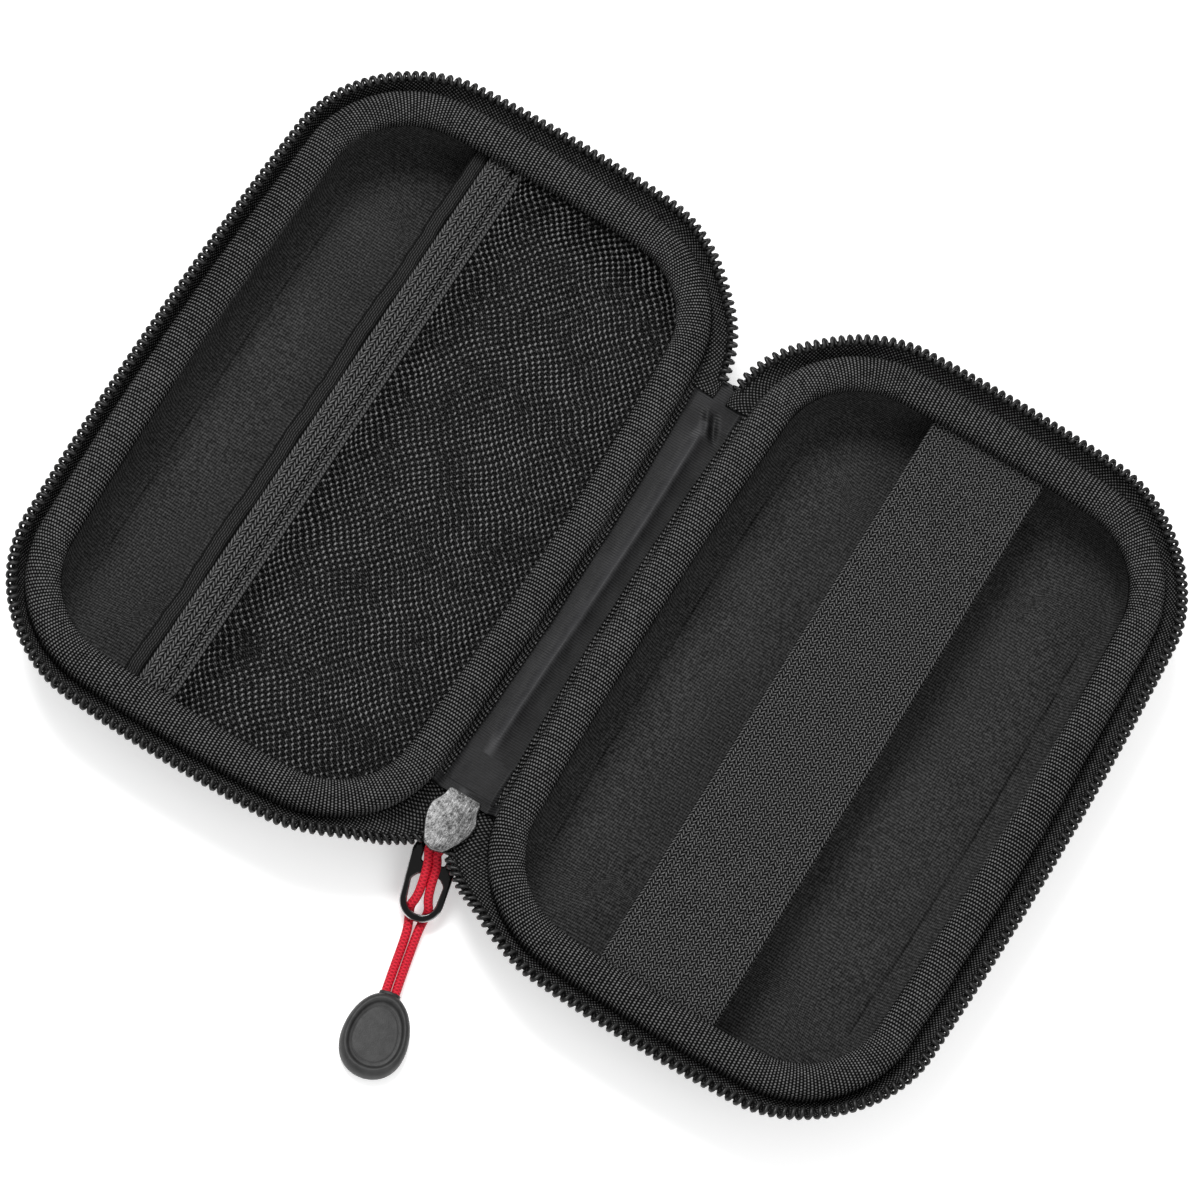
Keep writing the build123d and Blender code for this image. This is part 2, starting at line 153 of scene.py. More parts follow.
# --- materials ---------------------------------------------------------------------------------

class Shader:
    """A Principled material and short calls that add nodes to it."""

    def __init__(self, name, colour, roughness, specular=0.5):
        self.material = bpy.data.materials.new(name)
        self.material.use_nodes = True
        self.tree = self.material.node_tree
        self.bsdf = self.tree.nodes["Principled BSDF"]
        self.bsdf.inputs["Base Color"].default_value = (*colour, 1)
        self.bsdf.inputs["Roughness"].default_value = roughness
        self.bsdf.inputs["Specular IOR Level"].default_value = specular

    def socket(self, name, value):
        self.bsdf.inputs[name].default_value = value

    def put(self, target, value):
        if hasattr(value, "is_output"):
            self.tree.links.new(value, target)
        else:
            target.default_value = value

    def math(self, operation, a, b=0.0, clamp=False):
        node = self.tree.nodes.new("ShaderNodeMath")
        node.operation, node.use_clamp = operation, clamp
        self.put(node.inputs[0], a)
        self.put(node.inputs[1], b)
        return node.outputs[0]

    def weave(self):
        """The piece's own fabric coordinates in millimetres, along and across."""
        node = self.tree.nodes.new("ShaderNodeUVMap")
        node.uv_map = "weave"
        split = self.tree.nodes.new("ShaderNodeSeparateXYZ")
        self.tree.links.new(node.outputs[0], split.inputs[0])
        return split.outputs[0], split.outputs[1]

    def place(self):
        return self.tree.nodes.new("ShaderNodeTexCoord").outputs["Object"]

    def noise(self, size, detail=2.0, stretch=None):
        """Noise from 0 to 1 with blobs of about that size in millimetres."""
        node = self.tree.nodes.new("ShaderNodeTexNoise")
        coords = self.place()
        if stretch:
            mapping = self.tree.nodes.new("ShaderNodeMapping")
            mapping.inputs["Scale"].default_value = stretch
            self.tree.links.new(coords, mapping.inputs["Vector"])
            coords = mapping.outputs[0]
        self.tree.links.new(coords, node.inputs["Vector"])
        node.inputs["Scale"].default_value = 1 / (size * MM)
        node.inputs["Detail"].default_value = detail
        return node.outputs["Fac"]

    def wave(self, coordinate, pitch, phase=0.0):
        """Sine from 0 to 1 along a coordinate, with its crests one pitch apart."""
        turn = self.math("MULTIPLY", coordinate, 2 * pi / pitch)
        turn = self.math("ADD", turn, phase)
        return self.half_sine(turn)

    def half_sine(self, turn):
        return self.math("ADD", self.math("MULTIPLY", self.math("SINE", turn), 0.5), 0.5)

    def facing(self, direction):
        """How far the piece's surface at rest faces that way, from -1 to 1."""
        node = self.tree.nodes.new("ShaderNodeVectorMath")
        node.operation = "DOT_PRODUCT"
        self.tree.links.new(self.tree.nodes.new("ShaderNodeTexCoord").outputs["Normal"], node.inputs[0])
        node.inputs[1].default_value = direction
        return node.outputs["Value"]

    def peak(self, value, middle, reach):
        """1 where the value is at the middle, falling to 0 at that reach from it."""
        off = self.math("ABSOLUTE", self.math("SUBTRACT", value, middle))
        return self.math("SUBTRACT", 1.0, self.math("DIVIDE", off, reach), True)

    def add(self, *values):
        total = values[0]
        for value in values[1:]:
            total = self.math("ADD", total, value)
        return total

    def times(self, *values):
        total = values[0]
        for value in values[1:]:
            total = self.math("MULTIPLY", total, value)
        return total

    def colours(self, factor, low, high, start=0.0, end=1.0):
        """Base colour from one to another as the factor goes from start to end."""
        span = self.tree.nodes.new("ShaderNodeMapRange")
        self.put(span.inputs["Value"], factor)
        span.inputs["From Min"].default_value, span.inputs["From Max"].default_value = start, end
        mix = self.tree.nodes.new("ShaderNodeMix")
        mix.data_type = "RGBA"
        self.tree.links.new(span.outputs[0], mix.inputs["Factor"])
        mix.inputs[6].default_value, mix.inputs[7].default_value = (*low, 1), (*high, 1)
        self.tree.links.new(mix.outputs[2], self.bsdf.inputs["Base Color"])

    def roughness(self, factor, low, high):
        span = self.tree.nodes.new("ShaderNodeMapRange")
        self.put(span.inputs["Value"], factor)
        span.inputs["To Min"].default_value, span.inputs["To Max"].default_value = low, high
        self.tree.links.new(span.outputs[0], self.bsdf.inputs["Roughness"])

    def bump(self, height, depth, strength=1.0):
        """Relief of that depth in millimetres."""
        node = self.tree.nodes.new("ShaderNodeBump")
        node.inputs["Strength"].default_value = strength
        node.inputs["Distance"].default_value = depth * MM
        self.tree.links.new(height, node.inputs["Height"])
        self.tree.links.new(node.outputs[0], self.bsdf.inputs["Normal"])


def grey(value, tint=(1.0, 1.0, 1.0)):
    return tuple(value * t for t in tint)


def binding_material():
    """Grosgrain: ribs across the tape, each broken up by the warp that crosses it. The light rib crests are
    partly painted highlight and the dark gaps between them painted shade.
    """
    s = Shader("grosgrain", grey(0.03), 0.62, 0.05)
    u, v = s.weave()
    rib = s.wave(u, RIB_PITCH, -pi / 2)
    row = s.math("FLOOR", s.math("DIVIDE", u, RIB_PITCH))
    warp = s.half_sine(s.add(s.times(v, 2 * pi / 0.62), s.times(row, pi)))
    rough = s.add(s.times(s.noise(0.8, 3), 1.3), 0.2)
    # fleck is the real weave pattern and also paints highlight on the rib crests and shade in the gaps
    fleck = s.times(rib, s.add(s.times(warp, 0.75), 0.25), rough)
    s.colours(fleck, grey(0.0012), grey(0.17), 0.20, 0.85)
    s.bump(s.add(s.times(rib, 0.5), s.times(warp, 0.5), s.times(s.noise(0.12), 0.3)), 0.25)
    return s.material


def tape_material():
    """Zip tape: coarse diagonal twill."""
    s = Shader("zip_tape_twill", grey(0.02), 0.7, 0.05)
    u, v = s.weave()
    twill = s.wave(s.add(u, s.times(v, 1.5)), 1.05)
    cross = s.wave(s.add(s.times(u, -1.2), v), 0.9)
    fleck = s.times(twill, cross, s.add(s.noise(0.3), 0.4))
    rough = s.add(s.times(s.noise(0.9, 3), 1.6), 0.05)
    s.colours(s.times(fleck, rough), grey(0.0015), grey(0.13), 0.1, 0.8)
    s.bump(s.add(s.times(twill, 0.6), s.times(cross, 0.4)), 0.2)
    return s.material


def coil_material():
    s = Shader("nylon_coil", grey(0.012), 0.33, 0.3)
    s.colours(s.noise(0.8), grey(0.003), grey(0.012), 0.3, 0.7)
    s.roughness(s.noise(0.4), 0.25, 0.42)
    s.bump(s.noise(0.2), 0.02)
    return s.material


def lining_material():
    """Laminated knit lining with fine ribs running across the tray."""
    s = Shader("ribbed_lining", grey(0.02), 0.8, 0.045)
    u, v = s.weave()
    rib = s.wave(v, 0.72)
    stitch = s.wave(u, 0.55)
    speck = s.math("POWER", s.noise(0.55, 4), 2.0)
    fleck = s.times(s.add(s.times(rib, 0.45), s.times(stitch, 0.25), 0.15), s.add(s.times(speck, 2.6), 0.15))
    s.colours(s.add(fleck, s.times(s.noise(14, 2), 0.15)), grey(0.0015), grey(0.062), 0.12, 0.95)
    s.bump(s.add(s.times(rib, 0.7), s.times(stitch, 0.3), s.times(s.noise(0.3), 0.5)), 0.09)
    return s.material


def shell_material():
    """Moulded foam shell under a tight plain-woven nylon face."""
    s = Shader("nylon_faced_shell", grey(0.018), 0.62, 0.18)
    u, v = s.weave()
    row = s.math("FLOOR", s.math("DIVIDE", v, 0.55))
    over = s.half_sine(s.add(s.times(u, 2 * pi / 1.1), s.times(row, pi)))
    pick = s.wave(v, 0.55)
    fleck = s.times(over, s.add(s.times(pick, 0.6), 0.4), s.add(s.noise(0.4), 0.4))
    s.colours(fleck, grey(0.003), grey(0.045), 0.0, 0.9)
    s.bump(s.add(s.times(over, 0.5), s.times(pick, 0.5), s.times(s.noise(9, 2), 0.8)), 0.1)
    return s.material


def strap_material():
    """Knitted elastic: lengthwise wales of small slanted stitches, with a plain selvedge."""
    s = Shader("knit_elastic", grey(0.03), 0.75, 0.045)
    u, v = s.weave()
    wale = s.math("ABSOLUTE", s.math("SINE", s.times(v, pi / 0.78)))
    zig = s.math("PINGPONG", s.times(v, 1.25), 0.975)
    wander = s.times(s.noise(2.5, 2), 1.1)
    stitch = s.half_sine(s.times(s.add(u, zig, wander), 2 * pi / 0.86))
    rough = s.add(s.times(s.noise(0.5, 3), 1.1), 0.25)
    fleck = s.times(s.add(s.times(wale, 0.75), 0.25), s.add(s.times(stitch, 0.85), 0.15), rough)
    s.colours(fleck, grey(0.0012), grey(0.135), 0.23, 0.8)
    s.bump(s.add(s.times(wale, 0.5), s.times(stitch, 0.5)), 0.25)
    return s.material


# The pocket band's row of needle stitches, measured from its left edge
NEEDLE_FROM_EDGE = 6.1


def band_material():
    """Herringbone knit of the pocket's band, with painted shade in the groove along its needle stitches."""
    s = Shader("diagonal_knit", grey(0.03), 0.75, 0.045)
    u, v = s.weave()
    wale = s.math("ABSOLUTE", s.math("SINE", s.times(v, pi / 0.98)))
    zig = s.times(s.math("PINGPONG", v, 0.98), 1.6)
    stitch = s.half_sine(s.times(s.add(u, zig, s.times(s.noise(3, 2), 1.2)), 2 * pi / 1.15))
    rough = s.add(s.times(s.noise(0.5, 3), 1.1), 0.25)
    # painted shade along the groove of the needle stitches
    needle_line_shade = s.math("SUBTRACT", 1.0, s.times(s.peak(v, NEEDLE_FROM_EDGE, 0.55), 0.95))
    fleck = s.times(s.add(s.times(wale, 0.8), 0.2), s.add(s.times(stitch, 0.75), 0.25), rough, needle_line_shade)
    s.colours(fleck, grey(0.0012), grey(0.135), 0.2, 0.8)
    s.bump(s.add(s.times(wale, 0.5), s.times(stitch, 0.5)), 0.25)
    return s.material


def band_shadow_ply_material():
    """Dark back ply beside the band that stands in for the band's shadow, with painted shade darker still at
    its two edges.
    """
    s = Shader("band_shadow_ply", grey(0.015), 0.8, 0.045)
    u, v = s.weave()
    grain = s.times(s.wave(v, 0.5), s.add(s.wave(s.add(u, v), 0.9), 0.4), s.add(s.noise(0.6, 3), 0.2))
    # the two masks below paint shade that darkens the sheet towards its edges, the right one where it runs in
    # under the band
    edge_shade_left = s.math("SMOOTH_MIN", s.times(v, 1.4), 1.0)
    edge_shade_right = s.math("MINIMUM", s.math("MAXIMUM", s.math("SUBTRACT", 3.6, v), 0.0), 1.0)
    s.colours(s.times(grain, edge_shade_left, edge_shade_right), grey(0.0012), grey(0.05), 0.0, 0.85)
    s.bump(grain, 0.15)
    return s.material


def mesh_material():
    """Polyester yarn of the air mesh, with painted highlights on the knit loops where it turns over."""
    s = Shader("air_mesh_yarn", grey(0.02), 0.6, 0.05)
    u, v = s.weave()
    side = s.math("COSINE", s.times(v, 2 * pi / CELL[0]))
    ahead = s.math("COSINE", s.times(u, 2 * pi / CELL[1]))
    node = s.math("MAXIMUM", s.times(side, ahead, -1.0), 0.0)
    # dash is a painted highlight on the knit loops, shown only in the random patches
    dash = s.times(node, s.math("POWER", s.math("ABSOLUTE", side), 5.0))
    patch = s.math("MAXIMUM", s.add(s.times(s.noise(0.9, 2), 4.0), s.times(s.noise(10, 2), 2.2), -2.25), 0.0)
    thread = s.times(s.wave(s.add(u, s.times(v, 0.6)), 0.5), s.math("POWER", s.noise(0.6, 3), 3.0))
    light = s.add(s.times(dash, patch), s.times(thread, 1.6))
    s.colours(light, grey(0.0012), grey(0.17), 0.06, 0.95)
    s.bump(s.add(s.times(node, 0.6), s.times(s.noise(0.25), 0.4)), 0.2)
    return s.material


# Sideways bow of the spine's crease along its length: size, turns for each millimetre, phase
SPINE_BOW = (0.5, 0.05, 0.6)


def satin_material():
    """Thin nylon satin of the spine: a faint cross rib, a painted highlight on the crease, darker beside it.
    """
    s = Shader("spine_nylon", grey(0.025), 0.5, 0.16)
    u, v = s.weave()
    rib = s.wave(s.add(u, s.times(s.noise(5, 1), 0.5)), 0.62)
    bow = s.times(s.math("SINE", s.add(s.times(u, SPINE_BOW[1]), SPINE_BOW[2])), SPINE_BOW[0])
    off = s.math("SUBTRACT", s.math("SUBTRACT", v, SPINE_X), bow)
    # ridge is a painted highlight along the crease
    ridge = s.times(s.peak(off, -0.5, 1.5), s.add(s.noise(2.5, 2), 0.3))
    base_side = s.peak(off, 3.6, 3.6)
    tone = s.add(s.times(rib, s.add(s.times(base_side, 0.25), 0.2)), s.times(s.noise(6, 2), 0.35),
                 s.times(s.noise(0.5, 3), 0.4), s.times(ridge, 0.75), s.times(base_side, -0.32))
    s.colours(tone, grey(0.0015, (1, 1, 1.05)), grey(0.034, (1, 1, 1.05)), 0.25, 1.05)
    s.bump(s.add(s.times(rib, 0.5), s.times(s.noise(2.5, 2), 0.8)), 0.12)
    s.roughness(s.noise(3), 0.38, 0.55)
    return s.material


def thread_material():
    s = Shader("sewing_thread", grey(0.03), 0.55, 0.15)
    u, v = s.weave()
    s.colours(s.wave(s.add(u, v), 0.5), grey(0.004), grey(0.09))
    s.bump(s.wave(s.add(u, v), 0.5), 0.05)
    return s.material


def edge_material():
    """Folded selvedge that catches the light."""
    s = Shader("selvedge", grey(0.09), 0.6, 0.15)
    u, v = s.weave()
    s.colours(s.wave(u, 0.7), grey(0.012), grey(0.07))
    s.bump(s.wave(u, 0.7), 0.05)
    return s.material


def slider_material():
    """Tumbled die-cast zinc, dull and mottled, with painted highlights on its edges."""
    s = Shader("mottled_zinc_edge_highlight", grey(0.30), 0.42)
    s.socket("Metallic", 1.0)
    blotch = s.add(s.times(s.noise(1.1, 4), 0.6), s.times(s.noise(0.35, 3), 0.45))
    # edge paints highlights on the bevels that face partly upwards; the blotch mottling is the zinc's own
    edge = s.peak(s.facing((0, 0, 1)), 0.55, 0.44)
    s.colours(s.add(blotch, s.times(edge, 0.45)), grey(0.025), grey(0.22), 0.38, 0.82)
    s.roughness(s.noise(0.7, 3), 0.3, 0.5)
    scratch = s.noise(0.5, 3, (1.0, 0.12, 1.0))
    s.bump(s.add(s.noise(0.45, 3), s.times(scratch, 0.8)), 0.06)
    return s.material


def ring_material():
    """Black nickel plating, with painted highlights along its edges."""
    s = Shader("black_nickel", grey(0.10), 0.2)
    s.socket("Metallic", 1.0)
    # edge and shine paint highlights on the ring's bevels, with a little random tone
    edge = s.peak(s.facing(RING_LIFT), 0.55, 0.44)
    shine = s.add(s.times(edge, s.add(s.noise(2.5, 2), 0.25)), s.times(s.noise(1.5, 2), 0.12))
    s.colours(shine, grey(0.02), grey(0.62), 0.08, 0.85)
    s.roughness(s.noise(0.9, 2), 0.08, 0.18)
    s.bump(s.noise(0.6, 2), 0.012)
    return s.material


def cord_material():
    """Eight-strand red braid."""
    s = Shader("red_braid", (0.6, 0.01, 0.03), 0.6, 0.2)
    u, v = s.weave()
    turn = 2 * pi / 0.8
    left = s.half_sine(s.add(s.times(u, turn), s.times(v, 2 * pi * 4)))
    right = s.half_sine(s.add(s.times(u, turn), s.times(v, -2 * pi * 4)))
    plait = s.math("MAXIMUM", left, right)
    fleck = s.times(plait, s.add(s.times(s.noise(0.25, 3), 0.6), 0.5))
    s.colours(fleck, (0.30, 0.003, 0.012), (0.62, 0.014, 0.034), 0.3, 0.8)
    s.bump(plait, 0.10)
    return s.material


def rubber_material():
    s = Shader("moulded_rubber", grey(0.06), 0.55, 0.35)
    s.colours(s.add(s.times(s.noise(2.2, 3), 0.7), s.times(s.noise(0.3, 2), 0.3)),
              grey(0.012), grey(0.029), 0.3, 0.7)
    s.roughness(s.noise(1.2, 3), 0.42, 0.62)
    s.bump(s.add(s.noise(0.3, 3), s.times(s.noise(1.6, 2), 0.6)), 0.04)
    return s.material


# --- mesh making -------------------------------------------------------------------------------

def add_object(name, mesh, material):
    mesh.materials.append(material)
    piece = bpy.data.objects.new(name, mesh)
    bpy.context.scene.collection.objects.link(piece)
    return piece


def quad_mesh(name, points, quads, uv):
    """Smooth mesh from points in millimetres, quads of point numbers and a uv pair for each corner."""
    mesh = bpy.data.meshes.new(name)
    mesh.vertices.add(len(points))
    mesh.vertices.foreach_set("co", (points * MM).astype(np.float32).ravel())
    mesh.loops.add(quads.size)
    mesh.loops.foreach_set("vertex_index", quads.astype(np.int32).ravel())
    mesh.polygons.add(len(quads))
    mesh.polygons.foreach_set("loop_start", np.arange(0, quads.size, 4, dtype=np.int32))
    mesh.polygons.foreach_set("use_smooth", np.ones(len(quads), dtype=bool))
    layer = mesh.uv_layers.new(name="weave")
    layer.data.foreach_set("uv", uv.astype(np.float32).ravel())
    mesh.update(calc_edges=True)
    mesh.validate()
    return mesh


def surface(name, grid, material, along, across, closed=(False, False), flip=False):
    """Sheet over an (n, m, 3) grid.  along and across give its fabric coordinates, one more if closed."""
    n, m = grid.shape[:2]
    rows = np.arange(n if closed[0] else n - 1)[:, None]
    cols = np.arange(m if closed[1] else m - 1)[None, :]
    corners = [(rows, cols), (rows + 1, cols), (rows + 1, cols + 1), (rows, cols + 1)]
    if flip:
        corners.reverse()
    quads = np.stack([(i % n) * m + j % m for i, j in corners], -1).reshape(-1, 4)
    uv = [np.stack(np.broadcast_arrays(np.asarray(along)[i], np.asarray(across)[j]), -1)
          for i, j in corners]
    mesh = quad_mesh(name, grid.reshape(-1, 3), quads, np.stack(uv, -2).reshape(-1, 2))
    return add_object(name, mesh, material)


def strip(name, upper, lower, material, along, across, flip=False):
    """Strip of fabric with thickness, closed round its long edges, from its two faces."""
    grid = np.concatenate([upper, lower[:, ::-1]], 1)
    both = np.concatenate([across, across[::-1], across[:1]])
    return surface(name, grid, material, along, both, (False, True), flip)


def merged(piece, distance=0.001):
    """Joins points of the piece that lie within that many millimetres, and drops faces that vanish."""
    bm = bmesh.new()
    bm.from_mesh(piece.data)
    bmesh.ops.remove_doubles(bm, verts=bm.verts, dist=distance * MM)
    bmesh.ops.dissolve_degenerate(bm, edges=bm.edges, dist=distance * MM * 0.1)
    bm.to_mesh(piece.data)
    bm.free()
    return piece


def attach(piece, body, slot, *nodes):
    """Fixes a piece to its body, unless it bends between two, and hides the parts that it stands for."""
    if body:
        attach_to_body(piece, body)
    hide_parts(*nodes)


def mirror_half(grid, lid):
    """The lid's copy of base points: reflected in the spine's middle plane."""
    if not lid:
        return grid
    out = grid.copy()
    out[..., 0] = 2 * SPINE_X - out[..., 0]
    return out


def smooth(t):
    t = np.clip(t, 0.0, 1.0)
    return t * t * (3 - 2 * t)


def path_length(points):
    """Distance run at each point of a polyline."""
    steps = np.linalg.norm(np.diff(np.asarray(points, float), axis=0), axis=1)
    return np.concatenate([[0.0], np.cumsum(steps)])


def resample(points, count):
    """The polyline again with evenly spaced points."""
    points = np.asarray(points, float)
    run = path_length(points)
    at = np.linspace(0, run[-1], count)
    return np.stack([np.interp(at, run, points[:, k]) for k in range(points.shape[1])], -1)


def ripple(at, length, seed, octaves=3):
    """Smooth seeded wander between about -1 and 1 along a distance, closed over that length."""
    rng = np.random.default_rng(seed)
    total = np.zeros_like(np.asarray(at, float))
    for octave in range(octaves):
        for _ in range(3):
            turns = int(rng.integers(2, 7)) * 3 ** octave
            total = total + np.sin(2 * pi * turns * at / length + rng.uniform(0, 2 * pi)) / (1 + octave)
    return total / 4.0


def frames_along(points):
    """Two crossways directions at each point of a line, carried along it without twist."""
    tangents = np.gradient(points, axis=0)
    tangents /= np.linalg.norm(tangents, axis=1)[:, None]
    side = np.cross(tangents[0], (0.0, 0.0, 1.0))
    if np.linalg.norm(side) < 1e-3:
        side = np.cross(tangents[0], (0.0, 1.0, 0.0))
    sides = []
    for tangent in tangents:
        side = side - tangent * (side @ tangent)
        side = side / np.linalg.norm(side)
        sides.append(side)
    sides = np.array(sides)
    return sides, np.cross(tangents, sides)


def tube(name, points, radius, sides, material, flat=1.0):
    """Round tube along points, with closed ends; flat squashes it along its second direction."""
    points = np.asarray(points, float)
    side, up = frames_along(points)
    turn = np.arange(sides) * 2 * pi / sides
    ring = side[:, None] * np.cos(turn)[None, :, None] + up[:, None] * (flat * np.sin(turn))[None, :, None]
    grid = points[:, None] + ring * radius
    grid = np.concatenate([points[:1, None].repeat(sides, 1), grid, points[-1:, None].repeat(sides, 1)])
    run = path_length(points)
    run = np.concatenate([run[:1], run, run[-1:]])
    across = np.arange(sides + 1) / sides
    piece = surface(name, grid, material, run, across, (False, True))
    return merged(piece)


# --- the rim's outline -------------------------------------------------------------------------

def corner_centre():
    """Centre of the arc that is tangent to the long and the short side."""
    x, y = RIM_WIDTH / 2 - CORNER_R, RIM_LENGTH / 2 - CORNER_R
    for _ in range(20):
        y = RIM_LENGTH / 2 - SHORT_SIDE_R + sqrt((SHORT_SIDE_R - CORNER_R) ** 2 - x * x)
        x = RIM_WIDTH / 2 - LONG_SIDE_R + sqrt((LONG_SIDE_R - CORNER_R) ** 2 - y * y)
    return x, y


def rim_arcs():
    """The rim's eight arcs, anticlockwise from +X, as centre, radius, start angle and sweep."""
    cx, cy = corner_centre()
    long_x, short_y = RIM_WIDTH / 2 - LONG_SIDE_R, RIM_LENGTH / 2 - SHORT_SIDE_R
    long_angle, short_angle = atan2(cy, cx - long_x), atan2(cx, cy - short_y)
    turn = pi / 2 - short_angle - long_angle
    return [
        ((long_x, 0), LONG_SIDE_R, -long_angle, 2 * long_angle),
        ((cx, cy), CORNER_R, long_angle, turn),
        ((0, short_y), SHORT_SIDE_R, pi / 2 - short_angle, 2 * short_angle),
        ((-cx, cy), CORNER_R, pi / 2 + short_angle, turn),
        ((-long_x, 0), LONG_SIDE_R, pi - long_angle, 2 * long_angle),
        ((-cx, -cy), CORNER_R, pi + long_angle, turn),
        ((0, -short_y), SHORT_SIDE_R, 1.5 * pi - short_angle, 2 * short_angle),
        ((cx, -cy), CORNER_R, 1.5 * pi + short_angle, turn),
    ]


ARCS = rim_arcs()


class Track:
    """Stations along the rim, evenly spaced on each arc."""

    def __init__(self, step, order=range(8), ends=(None, None)):
        centres, radii, angles, arcs = [], [], [], []
        order = list(order)
        for k, index in enumerate(order):
            centre, radius, start, sweep = ARCS[index]
            low = radians(ends[0]) if k == 0 and ends[0] is not None else start
            high = radians(ends[1]) if k == len(order) - 1 and ends[1] is not None else start + sweep
            count = max(2, round(radius * (high - low) / step))
            last = k == len(order) - 1 and len(order) < 8
            for i in range(count + last):
                centres.append(centre)
                radii.append(radius)
                angles.append(low + (high - low) * i / count)
                arcs.append(index)
        self.centre, self.radius = np.array(centres, float), np.array(radii)
        self.angle, self.arc = np.array(angles), np.array(arcs)
        self.out = np.stack([np.cos(self.angle), np.sin(self.angle), 0 * self.angle], -1)
        self.ahead = np.stack([-np.sin(self.angle), np.cos(self.angle), 0 * self.angle], -1)
        edge = self.points(0.0, 0.0)
        if len(order) == 8:
            edge = np.concatenate([edge, edge[:1]])
        self.run = path_length(edge)
        self.length = self.run[-1]

    def points(self, inset, z):
        reach = self.radius - inset
        flat = self.centre + reach[:, None] * self.out[:, :2]
        return np.concatenate([flat, np.broadcast_to(z, reach.shape)[:, None]], 1)

    def grid(self, insets, heights):
        """Points over the stations and over a section of (inset, height); either may vary by station."""
        insets = np.broadcast_to(insets, (len(self.angle), np.shape(insets)[-1]))
        heights = np.broadcast_to(heights, insets.shape)
        reach = self.radius[:, None] - insets
        flat = self.centre[:, None, :] + reach[:, :, None] * self.out[:, None, :2]
        return np.concatenate([flat, heights[:, :, None]], 2)


# --- trays -------------------------------------------------------------------------------------

def tray_profile(depth, top, foot_steps=9):
    """Inset and height up one face of the wall: its foot's round, the drafted wall, the upright band."""
    lean = atan2(DRAFT, BAND_LOW - depth)
    radius = FLOOR_R - depth
    centre = WALL_INSET + DRAFT + depth + radius * tan((pi / 2 - lean) / 2)
    turn = np.linspace(0, pi / 2 - lean, foot_steps)
    foot = np.stack([centre - radius * np.sin(turn), depth + radius * (1 - np.cos(turn))], -1)
    wall_x = WALL_INSET + depth
    wall = [foot[-1] + (np.array((wall_x, BAND_LOW)) - foot[-1]) * t for t in (0.33, 0.66, 1.0)]
    band = [(wall_x, BAND_LOW + (top - BAND_LOW) * t) for t in (0.2, 0.5, 1.0)]
    return np.vstack([foot, wall, band])


def tray_face(track, depth, top, floor_rings, foot_steps=9):
    """Grid of one face of the tray, from the middle of its floor to the top of its wall."""
    profile = tray_profile(depth, top, foot_steps)
    wall = track.grid(profile[:, 0], profile[:, 1])
    edge = wall[:, :1]
    shares = np.linspace(0, 1, floor_rings, endpoint=False)[None, :, None]
    plate = edge * shares
    plate[..., 2] = edge[..., 2]
    across = np.concatenate([np.linspace(-40, 0, floor_rings, endpoint=False), path_length(profile)])
    return np.concatenate([plate, wall], 1), across


def make_shell(name, lid):
    """Moulded outer shell: a closed skin from the floor's middle up the wall and back down inside."""
    track = Track(2.0)
    outer, across = tray_face(track, 0.0, RIM_EDGE - 0.6, 14)
    groove = np.exp(-((outer[..., 2] - 16.6) / 0.5) ** 2)
    outer -= track.out[:, None] * (0.35 * groove)[..., None]
    inner, inner_across = tray_face(track, SHELL_THICK - 0.1, RIM_EDGE - 0.6, 6)
    grid = mirror_half(np.concatenate([outer, inner[:, ::-1]], 1), lid)
    along = track.run
    coordinate = np.concatenate([across, across[-1] + 3 + inner_across[-1] - inner_across[::-1]])
    piece = surface(name, grid, MATERIALS["shell"], along, coordinate, (True, False), not lid)
    plan_uv(piece)
    return merged(piece)


def make_lining(name, lid, seed):
    """Lining on the wall and floor, a little slack, with a crease where floor and long walls meet."""
    track = Track(1.6)
    profile = tray_profile(WALL_THICK, INNER_EDGE_Z + 2.0, 9)
    wall = track.grid(profile[:, 0], profile[:, 1])
    edge_inset = profile[0, 0]
    near = np.array([9.0, 5.0, 3.0, 1.8, 1.2, 0.9, 0.6, 0.4, 0.2])
    shoulder = track.grid(edge_inset + near, np.full(len(near), WALL_THICK))
    shares = np.linspace(0, 1, 12, endpoint=False)[None, :, None]
    plate = shoulder[:, :1] * shares
    plate[..., 2] = WALL_THICK
    grid = np.concatenate([plate, shoulder, wall], 1)
    straight = np.isin(track.arc, (0, 4)).astype(float)
    long_side = smooth((62 - np.abs(grid[..., 1])) / 14) * straight[:, None]
    inset = np.concatenate([np.full(12, 99.0), edge_inset + near, profile[:, 0]])
    crease = np.exp(-((inset - edge_inset - 0.6) / 0.35) ** 2)[None, :] * long_side
    raised = long_side * (smooth((inset - edge_inset) / 1.2) * (inset < 90))[None, :]
    grid[..., 2] += 0.125 * raised - 0.45 * crease
    sag = 0.22 * np.sin(grid[..., 0] / 9.0 + seed) * np.sin(grid[..., 1] / 13.0 + 2 * seed)
    grid[..., 2] += sag * (grid[..., 2] < 8)
    grid += track.out[:, None] * (0.18 * ripple(track.run[:-1], track.length, seed))[:, None, None] \
        * smooth((grid[..., 2] - 5) / 6)[..., None]
    top = grid.copy()
    under = grid[:, ::-1] + np.array((0, 0, -0.3)) + track.out[:, None] * 0.3
    shell_grid = mirror_half(np.concatenate([top, under], 1), lid)
    piece = surface(name, shell_grid, MATERIALS["lining"], np.zeros(len(track.run)),
                    np.zeros(shell_grid.shape[1]), (True, False), lid)
    plan_uv(piece)
    return merged(piece)


